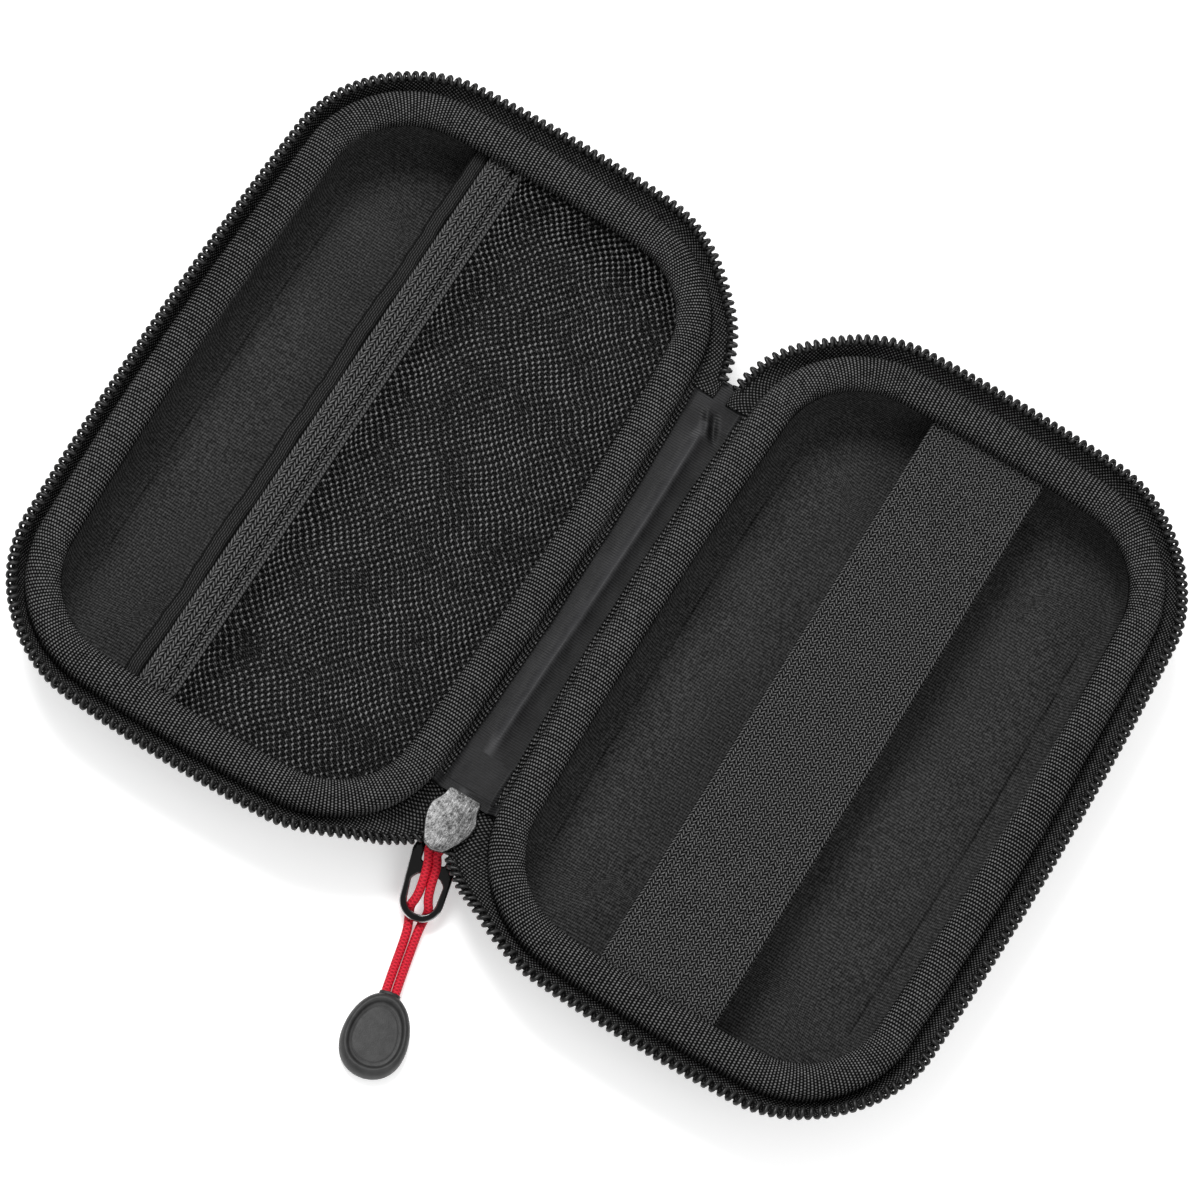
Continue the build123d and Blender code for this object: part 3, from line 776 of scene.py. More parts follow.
def plan_uv(piece):
    """Fabric coordinates straight from the plan: X across the tray and Y along it, walls included."""
    mesh = piece.data
    points = np.zeros(len(mesh.vertices) * 3)
    mesh.vertices.foreach_get("co", points)
    points = points.reshape(-1, 3) / MM
    corners = np.zeros(len(mesh.loops), dtype=np.int32)
    mesh.loops.foreach_get("vertex_index", corners)
    local = points[:, :2].copy()
    lid = local[:, 0] < SPINE_X
    local[lid, 0] = 2 * SPINE_X - local[lid, 0]
    limit = np.array(corner_centre())
    away = local - np.clip(local, -limit, limit)
    away /= np.maximum(np.linalg.norm(away, axis=1), 1e-6)[:, None]
    uv = (local + away * points[:, 2:3])[corners]
    mesh.uv_layers["weave"].data.foreach_set("uv", uv.astype(np.float32).ravel())


# --- binding -----------------------------------------------------------------------------------

RIB_PITCH = 0.84
STEPS_PER_RIB = 4
OUTER_EDGE_Z = 17.3
INNER_EDGE_Z = 17.7
RIB_HEIGHT = 0.17
FOLD_RADIUS = 0.2
SKIRT_PITCH = 1.0


def binding_section():
    """Inset and height over the rim: outer selvedge, outer leg, padded crown, inner leg."""
    crown = [(BINDING_WIDTH * (0.5 - 0.5 * cos(t)), 19.6 + (RIM_TOP - 19.75) * sin(t) ** 0.9)
             for t in np.linspace(0.12, pi - 0.12, 16)]
    outer = [(0.75, OUTER_EDGE_Z + 0.25), (0.25, OUTER_EDGE_Z), (-0.1, OUTER_EDGE_Z + 0.25),
             (0.0, OUTER_EDGE_Z + 0.8), (0.02, 18.6)]
    inner = [(BINDING_WIDTH - 0.03, 18.7), (BINDING_WIDTH - 0.15, INNER_EDGE_Z + 0.3),
             (BINDING_WIDTH - 0.7, INNER_EDGE_Z)]
    return np.array(outer + crown + inner)


def make_binding(name, lid, seed):
    track = Track(RIB_PITCH / STEPS_PER_RIB)
    section = binding_section()
    section = np.vstack([section[:4], resample(section[3:-2], 16)[1:], section[-2:]])
    across = path_length(section)
    grid = track.grid(section[:, 0], section[:, 1])
    ahead = np.gradient(section, axis=0)
    normal = np.stack([ahead[:, 1], -ahead[:, 0]], -1)
    normal /= np.linalg.norm(normal, axis=1)[:, None]
    ribs = round(track.length / RIB_PITCH)
    pitch = track.length / ribs
    run = track.run[:-1, None]
    lean = 0.35 * ripple(run, track.length, seed) * np.sin(across / across[-1] * pi * 1.5)[None, :]
    shaft = np.sin(2 * pi * (run + lean) / pitch - pi / 2)
    loose = ripple(run, track.length, seed + 5)
    fade = smooth((across - 0.8) / 1.0) * smooth((across[-1] - across) / 1.5)
    leg = 1 + 0.9 * (1 - smooth((across - 2.0) / 1.5))
    lift = RIB_HEIGHT * leg * (0.5 * shaft - 0.3) * fade[None, :]
    lift += 0.16 * loose * np.sin(across / across[-1] * pi)
    lift -= 0.12
    outward = -normal[:, 0]
    grid += track.out[:, None] * (lift * outward[None, :])[..., None]
    grid[..., 2] += lift * normal[:, 1][None, :]
    grid = mirror_half(grid, lid)
    return surface(name, grid, MATERIALS["binding"], track.run / pitch * RIB_PITCH, across,
                   (True, False), lid)


def make_skirt(name, lid):
    """The binding's loose outer edge beside the spine, with coarser ribs."""
    track = Track(SKIRT_PITCH / 5, [4])
    section = np.array([(0.25, 19.3), (-0.1, 18.7), (-0.3, 18.1), (-0.5, 17.5), (-0.75, 16.95),
                        (-1.15, 16.55), (-1.6, 16.35), (-1.75, 16.2), (-1.5, 16.1)])
    across = path_length(section)
    run = track.run[:, None]
    shaft = np.sin(2 * pi * run / SKIRT_PITCH + 0.5 * ripple(run, 110.0, 21))
    swell = 0.2 * shaft * smooth(across / 0.8)[None, :] + 0.15 * ripple(run, 110.0, 22)
    grid = track.grid(section[:, 0][None, :] - 0.6 * swell, section[:, 1][None, :] + 0.8 * swell)
    along = track.run * RIB_PITCH / SKIRT_PITCH - 0.21
    piece = surface(name, mirror_half(grid, lid), MATERIALS["binding"], along, across, flip=not lid)
    half = "lid" if lid else "base"
    bend_with_tray(piece)
    attach(piece, None, "binding", half + "_binding")


def make_fold_line(name, lid):
    """Thin line of the binding's turned outer edge, a little wavy."""
    track = Track(1.0)
    wave = 0.12 * ripple(track.run[:-1], track.length, 61 + lid)
    line = track.points(0.05 - wave, OUTER_EDGE_Z + 0.15 + 0.5 * wave)
    line = np.vstack([line, line[:1]])
    return tube(name, mirror_half(line, lid), FOLD_RADIUS, 6, MATERIALS["edge"])


# --- zip ---------------------------------------------------------------------------------------

FLARE = 3.4
FLARE_WAVE = 0.5
TEETH_Z = RIM_TOP - 0.9
ZIP_ROOT_Z = FOLD_Z + 0.3
PLATE_THICK = 1.3
PLATE_GAP_TOP = float(node_box("slider_body")[1][2]) - PLATE_THICK
TAPE_THICK = 0.5
TAPE_PAST = 0.55
COIL_PITCH = 1.9
COIL_WIDE = 1.9
COIL_HIGH = 1.5
COIL_HIGH_IN_SLIDER = 0.9
COIL_WIRE = 0.47
ZIP_ARCS = (5, 6, 7, 0, 1, 2, 3)

# Where the zip leaves the rim's near corner for the slider: angle, reach beyond the rim and height
SLIDER_LEAD = np.array([(180, 6.3, 14.3), (190, 6.9, 14.0), (199.8, 7.6, 13.75), (204.3, 7.6, 13.75),
                        (209.6, 7.0, 13.9), (215.8, 6.1, 15.9), (226, 4.9, 18.5), (238, 4.2, 20.4)])
# The teeth sit closer to the lid's outer long side than to the base's
LID_SIDE_FLARE = 2.2


def zip_offsets(track, lid):
    """Flare beyond the rim and height of the teeth at each station."""
    turn = np.degrees(track.angle)
    wave = FLARE + FLARE_WAVE * np.cos(4 * track.angle)
    flare, height = wave.copy(), np.full(len(turn), TEETH_Z)
    far = track.arc == 3
    past = 180 - turn
    flare = np.where(far, wave + (5.7 - wave) * (1 - smooth(past / 45)), flare)
    height = np.where(far, ZIP_ROOT_Z + 0.6 + (TEETH_Z - ZIP_ROOT_Z - 0.6) * smooth(past / 33), height)
    near = track.arc == 5
    past = turn - 180
    room = (CORNER_R - 0.3) / np.cos(np.radians(np.minimum(np.abs(past), 75))) - CORNER_R
    flare = np.where(near, np.minimum(wave + 1.4 * (1 - smooth((past - 40) / 35)), room), flare)
    height = np.where(near, TEETH_Z - 3.0 * (1 - smooth((past - 25) / 40)), height)
    leads = [np.interp(turn, SLIDER_LEAD[:, 0], SLIDER_LEAD[:, k]) for k in (1, 2)]
    share = smooth((turn - 222) / 14)
    flare = np.where(near, leads[0] * (1 - share) + flare * share, flare)
    height = np.where(near, leads[1] * (1 - share) + height * share, height)
    if lid:
        beside = np.clip(track.points(0.0, 0.0)[:, 0] / (RIM_WIDTH / 2), 0, 1) ** 3
        flare = flare + (LID_SIDE_FLARE - flare) * beside
    return flare, height


def to_spine(piece):
    """Bakes a zip piece's placing into its mesh."""
    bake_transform(piece)


def make_tape(name, lid):
    """Zip tape: sewn in under the binding, up to the teeth, and down between the slider's plates."""
    track = Track(1.2, ZIP_ARCS, (186, 183))
    flare, height = zip_offsets(track, lid)
    tip = height - 0.35
    share = np.linspace(0, 1, 9)[None, :]
    out = -0.9 + (flare[:, None] + 0.9 + TAPE_PAST) * (1 - (1 - share) ** 1.35)
    turn = np.degrees(track.angle)
    by_slider = (track.arc == 5) * (1 - smooth((turn - 207) / 16))
    root = (ZIP_ROOT_Z + 0.2 + (PLATE_GAP_TOP - 0.35 - ZIP_ROOT_Z - 0.2) * by_slider)[:, None]
    climb = root + (tip[:, None] - root) * share ** 1.9
    climb += 0.12 * ripple(track.run[:, None], track.length, 31 + lid) * share
    top = track.grid(-out, climb + TAPE_THICK / 2)
    bottom = track.grid(-out - 0.15, climb - TAPE_THICK / 2)[:, ::-1]
    grid = mirror_half(np.concatenate([top, bottom], 1), lid)
    across = np.concatenate([share[0] * 6, 6.5 + share[0] * 6, [13.0]])
    return surface(name, grid, MATERIALS["tape"], track.run, across, (False, True), lid)


def make_coil(name, lid):
    """Coil of teeth wrapped over the tape's edge, one loop to a pitch."""
    track = Track(0.8, ZIP_ARCS, (199, 175.5))
    flare, height = zip_offsets(track, lid)
    middle = track.points(-(flare + 0.45), height - 0.05)
    run = path_length(middle)
    turns = floor(run[-1] / COIL_PITCH)
    steps = 14
    phase = np.arange(turns * steps) / steps + (0.5 if lid else 0.0)
    at = (phase - phase[0]) * COIL_PITCH + 0.3
    spin = 2 * pi * phase
    centre = np.stack([np.interp(at, run, middle[:, k]) for k in range(3)], -1)
    out = np.stack([np.interp(at, run, track.out[:, k]) for k in range(3)], -1)
    wide = np.sign(np.cos(spin)) * np.abs(np.cos(spin)) ** 0.5 * COIL_WIDE / 2
    line = centre + out * wide[:, None]
    turn = np.interp(at, run, np.degrees(track.angle))
    by_slider = 1 - smooth((turn - 209) / 12)
    line[:, 2] += np.sin(spin) * (COIL_HIGH + (COIL_HIGH_IN_SLIDER - COIL_HIGH) * by_slider) / 2
    return tube(name, mirror_half(line, lid), COIL_WIRE, 6, MATERIALS["coil"])


MATERIALS = {}


def make_materials():
    makers = {
        "binding": binding_material, "tape": tape_material, "coil": coil_material,
        "lining": lining_material, "shell": shell_material, "strap": strap_material,
        "band": band_material, "ply": band_shadow_ply_material, "mesh": mesh_material, "satin": satin_material,
        "thread": thread_material, "edge": edge_material, "slider": slider_material,
        "ring": ring_material, "cord": cord_material, "rubber": rubber_material,
    }
    for name, maker in makers.items():
        MATERIALS[name] = maker()


def make_trays():
    for index, (half, body, lid) in enumerate(HALVES):
        pieces = {
            "shell": (make_shell(half + "_outer_shell", lid), "eva_shell", "shell"),
            "lining": (make_lining(half + "_inner_lining", lid, 3 + index), "lining", "lining"),
            "binding": (make_binding(half + "_rim_binding", lid, 11 + index), "binding", "binding"),
            "fold": (make_fold_line(half + "_binding_fold", lid), "binding", "binding"),
            "tape": (make_tape(half + "_tape", lid), "zip_tape", "zip_tape"),
            "coil": (make_coil(half + "_coil", lid), "zip_coil", "zip_teeth"),
        }
        for kind, (piece, slot, node) in pieces.items():
            attach(piece, None if kind in ("tape", "coil") else body, slot, f"{half}_{node}")
        to_spine(pieces["tape"][0])
        to_spine(pieces["coil"][0])
        make_skirt(half + "_binding_skirt", lid)


# --- strap over the base tray ------------------------------------------------------------------

STRAP_LOW, STRAP_HIGH = node_box("drive_strap")
STRAP_SAG = 0.5


def strap_line(reach, top, thick, leg, turn=1.1):
    """The strap's own middle line: up one end wall, over, across and down the other."""
    end, middle = reach - thick / 2, top - thick / 2
    bend = [(end - turn + turn * cos(a), middle - turn + turn * sin(a)) for a in np.linspace(0, pi / 2, 7)]
    half = [(end, middle - leg), (end, middle - turn - 0.6)] + bend
    flat = [(y, middle - STRAP_SAG * (1 - (y / end) ** 2)) for y in np.linspace(end - turn, 0, 60)[1:]]
    half = np.array(half + flat)
    return np.vstack([half, half[-2::-1] * (-1, 1)])


def make_strap():
    thick = 1.1
    leg = STRAP_HIGH[2] - STRAP_LOW[2] - thick
    line = resample(strap_line(STRAP_HIGH[1], STRAP_HIGH[2], thick, leg), 420)
    run = path_length(line)
    ahead = np.gradient(line, axis=0)
    ahead /= np.linalg.norm(ahead, axis=1)[:, None]
    normal = np.stack([-ahead[:, 1], ahead[:, 0]], -1)
    width = STRAP_HIGH[0] - STRAP_LOW[0]
    middle = (STRAP_HIGH[0] + STRAP_LOW[0]) / 2
    share = np.linspace(-1, 1, 57)
    edge = smooth((1 - np.abs(share)) / 0.045)
    half_thick = thick / 2 * (0.35 + 0.65 * edge)
    channel = 0.10 * np.exp(-((np.abs(share) - 0.92) / 0.012) ** 2)
    wales = 0.05 * np.abs(np.sin(pi * share * width / 2 / 0.8))
    wander = 0.088 * ripple(run, run[-1], 51)[:, None]
    cup = 0.16 * ripple(run, run[-1], 52)[:, None] * share[None, :]
    faces = []
    for side in (1, -1):
        off = side * (half_thick[None, :] - channel * (side > 0) + wales * (side > 0)) + cup
        y = line[:, :1] + normal[:, :1] * off
        z = line[:, 1:] + normal[:, 1:] * off
        x = middle + share[None, :] * (width / 2 - 0.1) + wander
        y = np.clip(y, STRAP_LOW[1], STRAP_HIGH[1])
        faces.append(np.stack(np.broadcast_arrays(x, y, z), -1))
    across = (share + 1) * width / 2
    piece = strip("elastic_drive_strap", *faces, MATERIALS["strap"], run, across)
    attach(piece, "base_tray", "elastic", "drive_strap")


def make_bartacks():
    """A dense zigzag of thread across each turned-down end."""
    low, high = node_box("strap_bartacks")
    for side, name in ((1, "far_bartack"), (-1, "near_bartack")):
        count = 44
        x = np.linspace(low[0] + 0.3, high[0] - 0.3, count)
        z = np.where(np.arange(count) % 2, low[2] + 0.15, high[2] - 0.15)
        y = np.full(count, side * (high[1] - 0.1))
        piece = tube(name, np.stack([x, y, z], -1), 0.2, 6, MATERIALS["thread"])
        attach(piece, "base_tray", "thread", "strap_bartacks")


# --- mesh pocket in the lid --------------------------------------------------------------------

CELL = (1.7, 2.0)
NET_ROWS = 82
MESH_HIGH = node_box("pocket_mesh")[1]
BAND_BOX_LOW, BAND_BOX_HIGH = node_box("pocket_band")
MESH_INSET = WALL_INSET + WALL_THICK + 0.3
POCKET_BULGE = 1.3


def inside_lid(x, y, inset):
    """True for points of the plan that lie within the lid's rim by at least the inset."""
    edge = Track(1.0).points(inset, 0.0)[:, :2]
    bx = 2 * SPINE_X - x
    ahead = np.roll(edge, -1, axis=0) - edge
    cross = ahead[:, 0] * (y[:, None] - edge[:, 1]) - ahead[:, 1] * (bx[:, None] - edge[:, 0])
    return (cross > -1e-9).all(1)


def end_wall(x, depth):
    """Y of the lid's end wall at x, that far inside the rim, including its rounded corners."""
    bx = 2 * SPINE_X - np.asarray(x, float)
    short_y = RIM_LENGTH / 2 - SHORT_SIDE_R
    y = short_y + np.sqrt((SHORT_SIDE_R - depth) ** 2 - bx * bx)
    cx, cy = corner_centre()
    past = np.abs(bx) - cx
    corner = cy + np.sqrt(np.maximum((CORNER_R - depth) ** 2 - past ** 2, 0.0))
    return np.where(past > 0, np.minimum(corner, y), y)


def pocket_height(x, y):
    """The slack net: it dips at its sewn edges and bellies up a little between them."""
    left, right = BAND_BOX_HIGH[0], MESH_HIGH[0] - 4.6
    across = np.clip((x - left) / (right - left), 0, 1)
    along = np.clip(np.abs(y) / end_wall(x, MESH_INSET), 0, 1)
    belly = POCKET_BULGE * np.sin(pi * across ** 0.8) ** 0.8 * (1 - along ** 4)
    wave = 0.30 * np.sin(0.16 * y + 0.11 * x) * np.sin(0.13 * x - 0.05 * y + 1.2)
    wave += 0.18 * np.sin(0.37 * y - 0.22 * x + 0.5)
    edge = smooth(across / 0.10) * smooth((1 - across) / 0.12)
    dip = -0.7 * (smooth((across - 0.72) / 0.28)) * (1 - smooth((across - 0.97) / 0.03))
    return MESH_HIGH[2] - 0.35 + (belly + wave + dip) * edge * (1 - along ** 10)


def make_net():
    """Air mesh: staggered open cells, with the yarn round each one raised into a ridge."""
    left = BAND_BOX_HIGH[0] - 1.5
    columns = np.arange(int((MESH_HIGH[0] - left) / (CELL[0] / 2)) + 1)
    rows = np.arange(-NET_ROWS, NET_ROWS + 1)
    column, row = (a.ravel() for a in np.meshgrid(columns, rows, indexing="ij"))
    keep = (column % 2) == (row % 2)
    column, row = column[keep], row[keep]
    x = left + column * CELL[0] / 2
    y = row * CELL[1] / 2
    keep = inside_lid(x, y, MESH_INSET + 0.2)
    x, y = x[keep], y[keep]
    a, b = CELL[0] / 2, CELL[1] / 2
    tile = np.array([(a, 0), (a / 2, b / 2), (0, b), (-a / 2, b / 2),
                     (-a, 0), (-a / 2, -b / 2), (0, -b), (a / 2, -b / 2)])
    turn = np.arctan2(tile[:, 1] / b, tile[:, 0] / a)
    hole = np.stack([0.40 * a * np.cos(turn) * 1.25, 0.52 * b * np.sin(turn)], -1)
    rng = np.random.default_rng(77)
    size = 1 + 0.10 * rng.standard_normal(len(x)).clip(-1.5, 1.5)[:, None, None]
    rings = []
    for share, drop in ((0.0, 0.0), (0.5, 0.06), (1.0, 0.42)):
        shape = tile[None] + (hole[None] * size - tile[None]) * share
        plan = np.stack([x[:, None] + shape[..., 0], y[:, None] + shape[..., 1]], -1)
        height = pocket_height(plan[..., 0], plan[..., 1]) - drop
        nub = 0.22 * (np.cos(2 * turn) ** 2)[None, :] * (1 - share)
        rings.append(np.concatenate([plan, (height + nub)[..., None]], -1))
    points = np.stack(rings, 1)
    count, levels, sides = points.shape[:3]
    numbers = np.arange(points[..., 0].size).reshape(count, levels, sides)
    ahead = np.roll(numbers, -1, axis=2)
    quads = np.stack([numbers[:, :-1], numbers[:, 1:], ahead[:, 1:], ahead[:, :-1]], -1).reshape(-1, 4)
    flat = points.reshape(-1, 3)
    uv = (flat[quads][..., (1, 0)] - (0, left)).reshape(-1, 2)
    rounded = np.round(flat[:, :2] / 0.02).astype(np.int64)
    inside = smooth((flat[:, 0] - left - 1.0) / 5) * smooth((MESH_HIGH[0] - 7 - flat[:, 0]) / 5)
    drift = 0.55 * np.sin(0.19 * flat[:, 1] + 0.07 * flat[:, 0])
    flat[:, 0] += inside * (drift + 0.25 * np.sin(0.43 * flat[:, 1] - 0.31 * flat[:, 0]))
    drift = 0.5 * np.sin(0.17 * flat[:, 0] + 0.4)
    flat[:, 1] += inside * (drift + 0.22 * np.sin(0.39 * flat[:, 0] + 0.21 * flat[:, 1]))
    _, first, same = np.unique(rounded, axis=0, return_index=True, return_inverse=True)
    mesh = quad_mesh("pocket_net", flat[first], same.reshape(-1)[quads], uv)
    return add_object("pocket_net", mesh, MATERIALS["mesh"])


def band_sheet(name, xs, heights, thick, material, depth=MESH_INSET, steps=300, wander=0.0, seed=1):
    """Strip of fabric along the lid between its end walls, with that section across it."""
    share = np.linspace(-1, 1, steps)[:, None]
    x = np.broadcast_to(xs[None, :], (steps, len(xs)))
    y = share * (end_wall(xs, depth)[None, :] - 0.2)
    drift = wander * ripple(y[:, :1], 150.0, seed)
    x = x + drift
    z = heights[None, :] + 0.12 * ripple(y[:, :1], 170.0, seed + 1)
    top = np.stack([x, y, z], -1)
    run = share[:, 0] * RIM_LENGTH / 2
    return strip(name, top, top - (0, 0, thick), material, run, xs - xs[0], True)


def make_pocket():
    low, high = BAND_BOX_LOW[0], BAND_BOX_HIGH[0]
    top = BAND_BOX_HIGH[2]
    knit_low = low - 0.2
    needle = knit_low + NEEDLE_FROM_EDGE
    xs = np.concatenate([np.linspace(knit_low, needle - 0.35, 22), [needle - 0.15, needle, needle + 0.15],
                         np.linspace(needle + 0.35, high + 0.25, 12)])
    roll = 0.35 * (smooth((xs - knit_low) / 0.5) + smooth((high + 0.25 - xs) / 0.5) - 2)
    groove = -0.55 * np.exp(-((xs - needle) / 0.25) ** 2) - 0.2 * np.exp(-((xs - knit_low - 0.9) / 0.18) ** 2)
    knit = band_sheet("pocket_knit_band", xs, top - 0.1 + roll + groove, 1.0, MATERIALS["band"])
    # The back ply is a dark sheet that stands in for the band's shadow on the lining.
    shadow_ply_xs = np.linspace(low - 3.8, low + 1.5, 14)
    shadow_ply_edge = 0.3 * (smooth((shadow_ply_xs - shadow_ply_xs[0]) / 0.5) - 1)
    ply = band_sheet("pocket_band_shadow_ply", shadow_ply_xs, top - 1.5 + shadow_ply_edge, 0.5,
                     MATERIALS["ply"], wander=0.35, seed=8)
    share = np.linspace(-1, 1, 320)
    edge_x = high + 0.35 - 1.6 * smooth((np.abs(share) - 0.93) / 0.07)
    line = np.stack([edge_x, share * (end_wall(edge_x, MESH_INSET) - 0.3),
                     top - 0.45 + 0.12 * ripple(share * 75, 170.0, 2)], -1)
    edge = tube("pocket_hem_edge", line, 0.28, 8, MATERIALS["edge"])
    stitches = []
    for offset, name in ((needle, "pocket_needle_stitch"), (knit_low + 0.9, "pocket_outer_stitch")):
        stitches.append(stitch_row(name, offset, top - 0.33, 3.0))
    net = make_net()
    for piece in (knit, ply, edge, *stitches):
        attach(piece, "lid_tray", "pocket_band", "pocket_band")
    attach(net, "lid_tray", "mesh", "pocket_mesh")


def stitch_row(name, x, z, pitch):
    """Line of lockstitch along the band, as short thread dashes sunk into the knit."""
    reach = float(end_wall(x, MESH_INSET)) - 1.0
    count = int(2 * reach / pitch)
    points, quads, uv = [], [], []
    for i in range(count):
        y0 = -reach + i * pitch
        ys = np.linspace(y0 + 0.25, y0 + pitch - 0.35, 5)
        lift = 0.17 * np.sin(np.linspace(0, pi, 5))
        line = np.stack([np.full(5, x), ys, z + lift + 0.02], -1)
        side, up = frames_along(line)
        turn = np.arange(6) * pi / 3
        ring = side[:, None] * np.cos(turn)[None, :, None] + up[:, None] * np.sin(turn)[None, :, None]
        grid = line[:, None] + ring * 0.16
        start = len(points) * 30
        points.append(grid.reshape(-1, 3))
        for r in range(4):
            for c in range(6):
                d = (c + 1) % 6
                quads.append([start + r * 6 + c, start + (r + 1) * 6 + c,
                              start + (r + 1) * 6 + d, start + r * 6 + d])
                uv.extend([(r, c), (r + 1, c), (r + 1, c + 1), (r, c + 1)])
    mesh = quad_mesh(name, np.vstack(points), np.array(quads), np.array(uv, float) * 0.2)
    return add_object(name, mesh, MATERIALS["thread"])


# --- spine -------------------------------------------------------------------------------------

SPINE_SURFACE = float(node_box("spine_inner")[1][2]) + 0.05
PLY_THICK = 0.45
PLY_SPACING = 0.75
PLY_REACH = 8.0
PLY_PAST_NEAR = 4.5
PLY_PAST_FAR = 4.0
TAB_OVERLAP = 7.0
TAB_HALF_WIDTH = 6.15


def spine_relief(x, y):
    """Height of the spine's fabric: a soft crease along the middle and shallow puckers."""
    across = x - SPINE_X
    fade = smooth((SPINE_HALF - 8 - np.abs(y)) / 6)
    bow = SPINE_BOW[0] * np.sin(SPINE_BOW[1] * y + SPINE_BOW[2])
    crease = 0.95 * np.exp(-np.abs((across - bow) / 1.2) ** 1.6) * fade
    slack = 0.14 * np.sin(0.21 * y + 0.5) + 0.06 * np.sin(0.47 * y + 0.35 * across)
    edge = 1.5 * smooth((np.abs(across) - 5.5) / 2.2)
    return crease + slack * fade + edge + drag_line(across, y)


def drag_line(across, y):
    """Short curved fold where the spine's crease runs out against the far patch."""
    along = (50.0 - y) / 8.5
    middle = 0.6 + 3.6 * np.clip(along, 0, 1.1) ** 1.4
    window = smooth(along / 0.35) * smooth((1.0 - along) / 0.4)
    return window * (0.6 * np.exp(-((across - middle + 1.7) / 1.0) ** 2)
                     - 0.65 * np.exp(-((across - middle) / 0.9) ** 2))


def make_spine_half(name, lid, top, nodes, relief):
    """Half of one ply, from the middle of the spine in under its tray's binding."""
    ys = np.linspace(-SPINE_HALF - PLY_PAST_NEAR, SPINE_HALF + PLY_PAST_FAR, 300)
    across = np.linspace(0, PLY_REACH, 34)
    x = SPINE_X + (-across if lid else across)
    plan_x, plan_y = np.meshgrid(x, ys)
    z = top + relief * spine_relief(plan_x, plan_y)
    upper = np.stack([plan_x, plan_y, z], -1)
    piece = strip(name, upper, upper - (0, 0, PLY_THICK), MATERIALS["satin"], ys, x, lid)
    piece.data.set_sharp_from_angle(angle=radians(50))
    attach(piece, None, "spine_satin", *nodes)
    bend_with_tray(piece)


def bend_with_tray(piece):
    """Bakes the piece's placing into its mesh."""
    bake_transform(piece)


def make_tab(name, side, length, raised, node):
    """Satin patch over an end of the spine, with a straight turned edge and a diagonal drag line."""
    inner = side * (SPINE_HALF - TAB_OVERLAP)
    ys = np.linspace(inner, inner + side * length, 80)
    xs = np.linspace(-TAB_HALF_WIDTH, TAB_HALF_WIDTH, 50)
    plan_x, plan_y = np.meshgrid(SPINE_X + xs, ys)
    from_inner = np.abs(plan_y - inner)
    z = SPINE_SURFACE + drag_line(plan_x - SPINE_X, plan_y)
    z += raised * smooth(from_inner / 5.0) - 0.3 * smooth((from_inner - length + 0.8) / 0.8) + 0.02
    z += raised * 0.45 * np.sin(0.4 * plan_y + 0.3) * np.cos(0.45 * (plan_x - SPINE_X) + 0.6)
    z += 0.6 * smooth((np.abs(plan_x - SPINE_X) - 5.2) / 1.0)
    upper = np.stack([plan_x, plan_y, z], -1)
    piece = strip(name, upper, upper - (0, 0, PLY_THICK), MATERIALS["satin"], ys, xs, side > 0)
    piece.data.set_sharp_from_angle(angle=radians(50))
    attach(piece, "spine", "spine_satin", node)


def make_spine():
    for half, _, lid in HALVES:
        make_spine_half(f"spine_inner_{half}_side", lid, SPINE_SURFACE, ["spine_inner", "spine_piping"], 1.0)
        make_spine_half(f"spine_outer_{half}_side", lid, SPINE_SURFACE - PLY_SPACING, ["spine_outer"], 0.3)
    make_tab("far_spine_tab", 1, 11.0, 0.5, "spine_tab_far")
    make_tab("near_spine_tab", -1, 9.6, 0.15, "spine_tab_near")
    low, high = node_box("zip_end_stop")
    turns = 9
    t = np.linspace(0, turns * 2 * pi, turns * 14)
    middle = (low + high) / 2
    span = (high - low) / 2
    x = np.linspace(low[0] + 0.2, high[0] - 0.2, len(t))
    y = middle[1] + (span[1] + 0.1) * np.cos(t)
    z = middle[2] + 0.1 + span[2] * 0.7 * np.sin(t)
    line = np.stack([x, y, z], -1)
    stop = tube("zip_end_stop_thread", line, 0.24, 6, MATERIALS["thread"])
    attach(stop, "spine", "thread", "zip_end_stop")


# --- slider, bridge and ring -------------------------------------------------------------------

def plate(name, outline, holes, thick, bevel, placing, material):
    """Flat plate cut to an outline in millimetres, with rounded edges, at a placing in metres."""
    curve = bpy.data.curves.new(name, "CURVE")
    curve.dimensions, curve.fill_mode = "2D", "BOTH"
    for loop in (outline, *holes):
        spline = curve.splines.new("POLY")
        spline.points.add(len(loop) - 1)
        for point, (x, y) in zip(spline.points, loop):
            point.co = (x * MM, y * MM, 0, 1)
        spline.use_cyclic_u = True
    curve.extrude = (thick / 2 - bevel) * MM
    curve.bevel_depth, curve.bevel_resolution, curve.offset = bevel * MM, 4, -bevel * MM
    holder = bpy.data.objects.new(name, curve)
    bpy.context.scene.collection.objects.link(holder)
    bpy.context.view_layer.update()
    mesh = bpy.data.meshes.new_from_object(holder)
    bpy.data.objects.remove(holder)
    mesh.name = name
    piece = add_object(name, mesh, material)
    merged(piece, 0.002)
    mesh.transform(placing)
    mesh.shade_smooth()
    mesh.set_sharp_from_angle(angle=radians(38))
    return piece


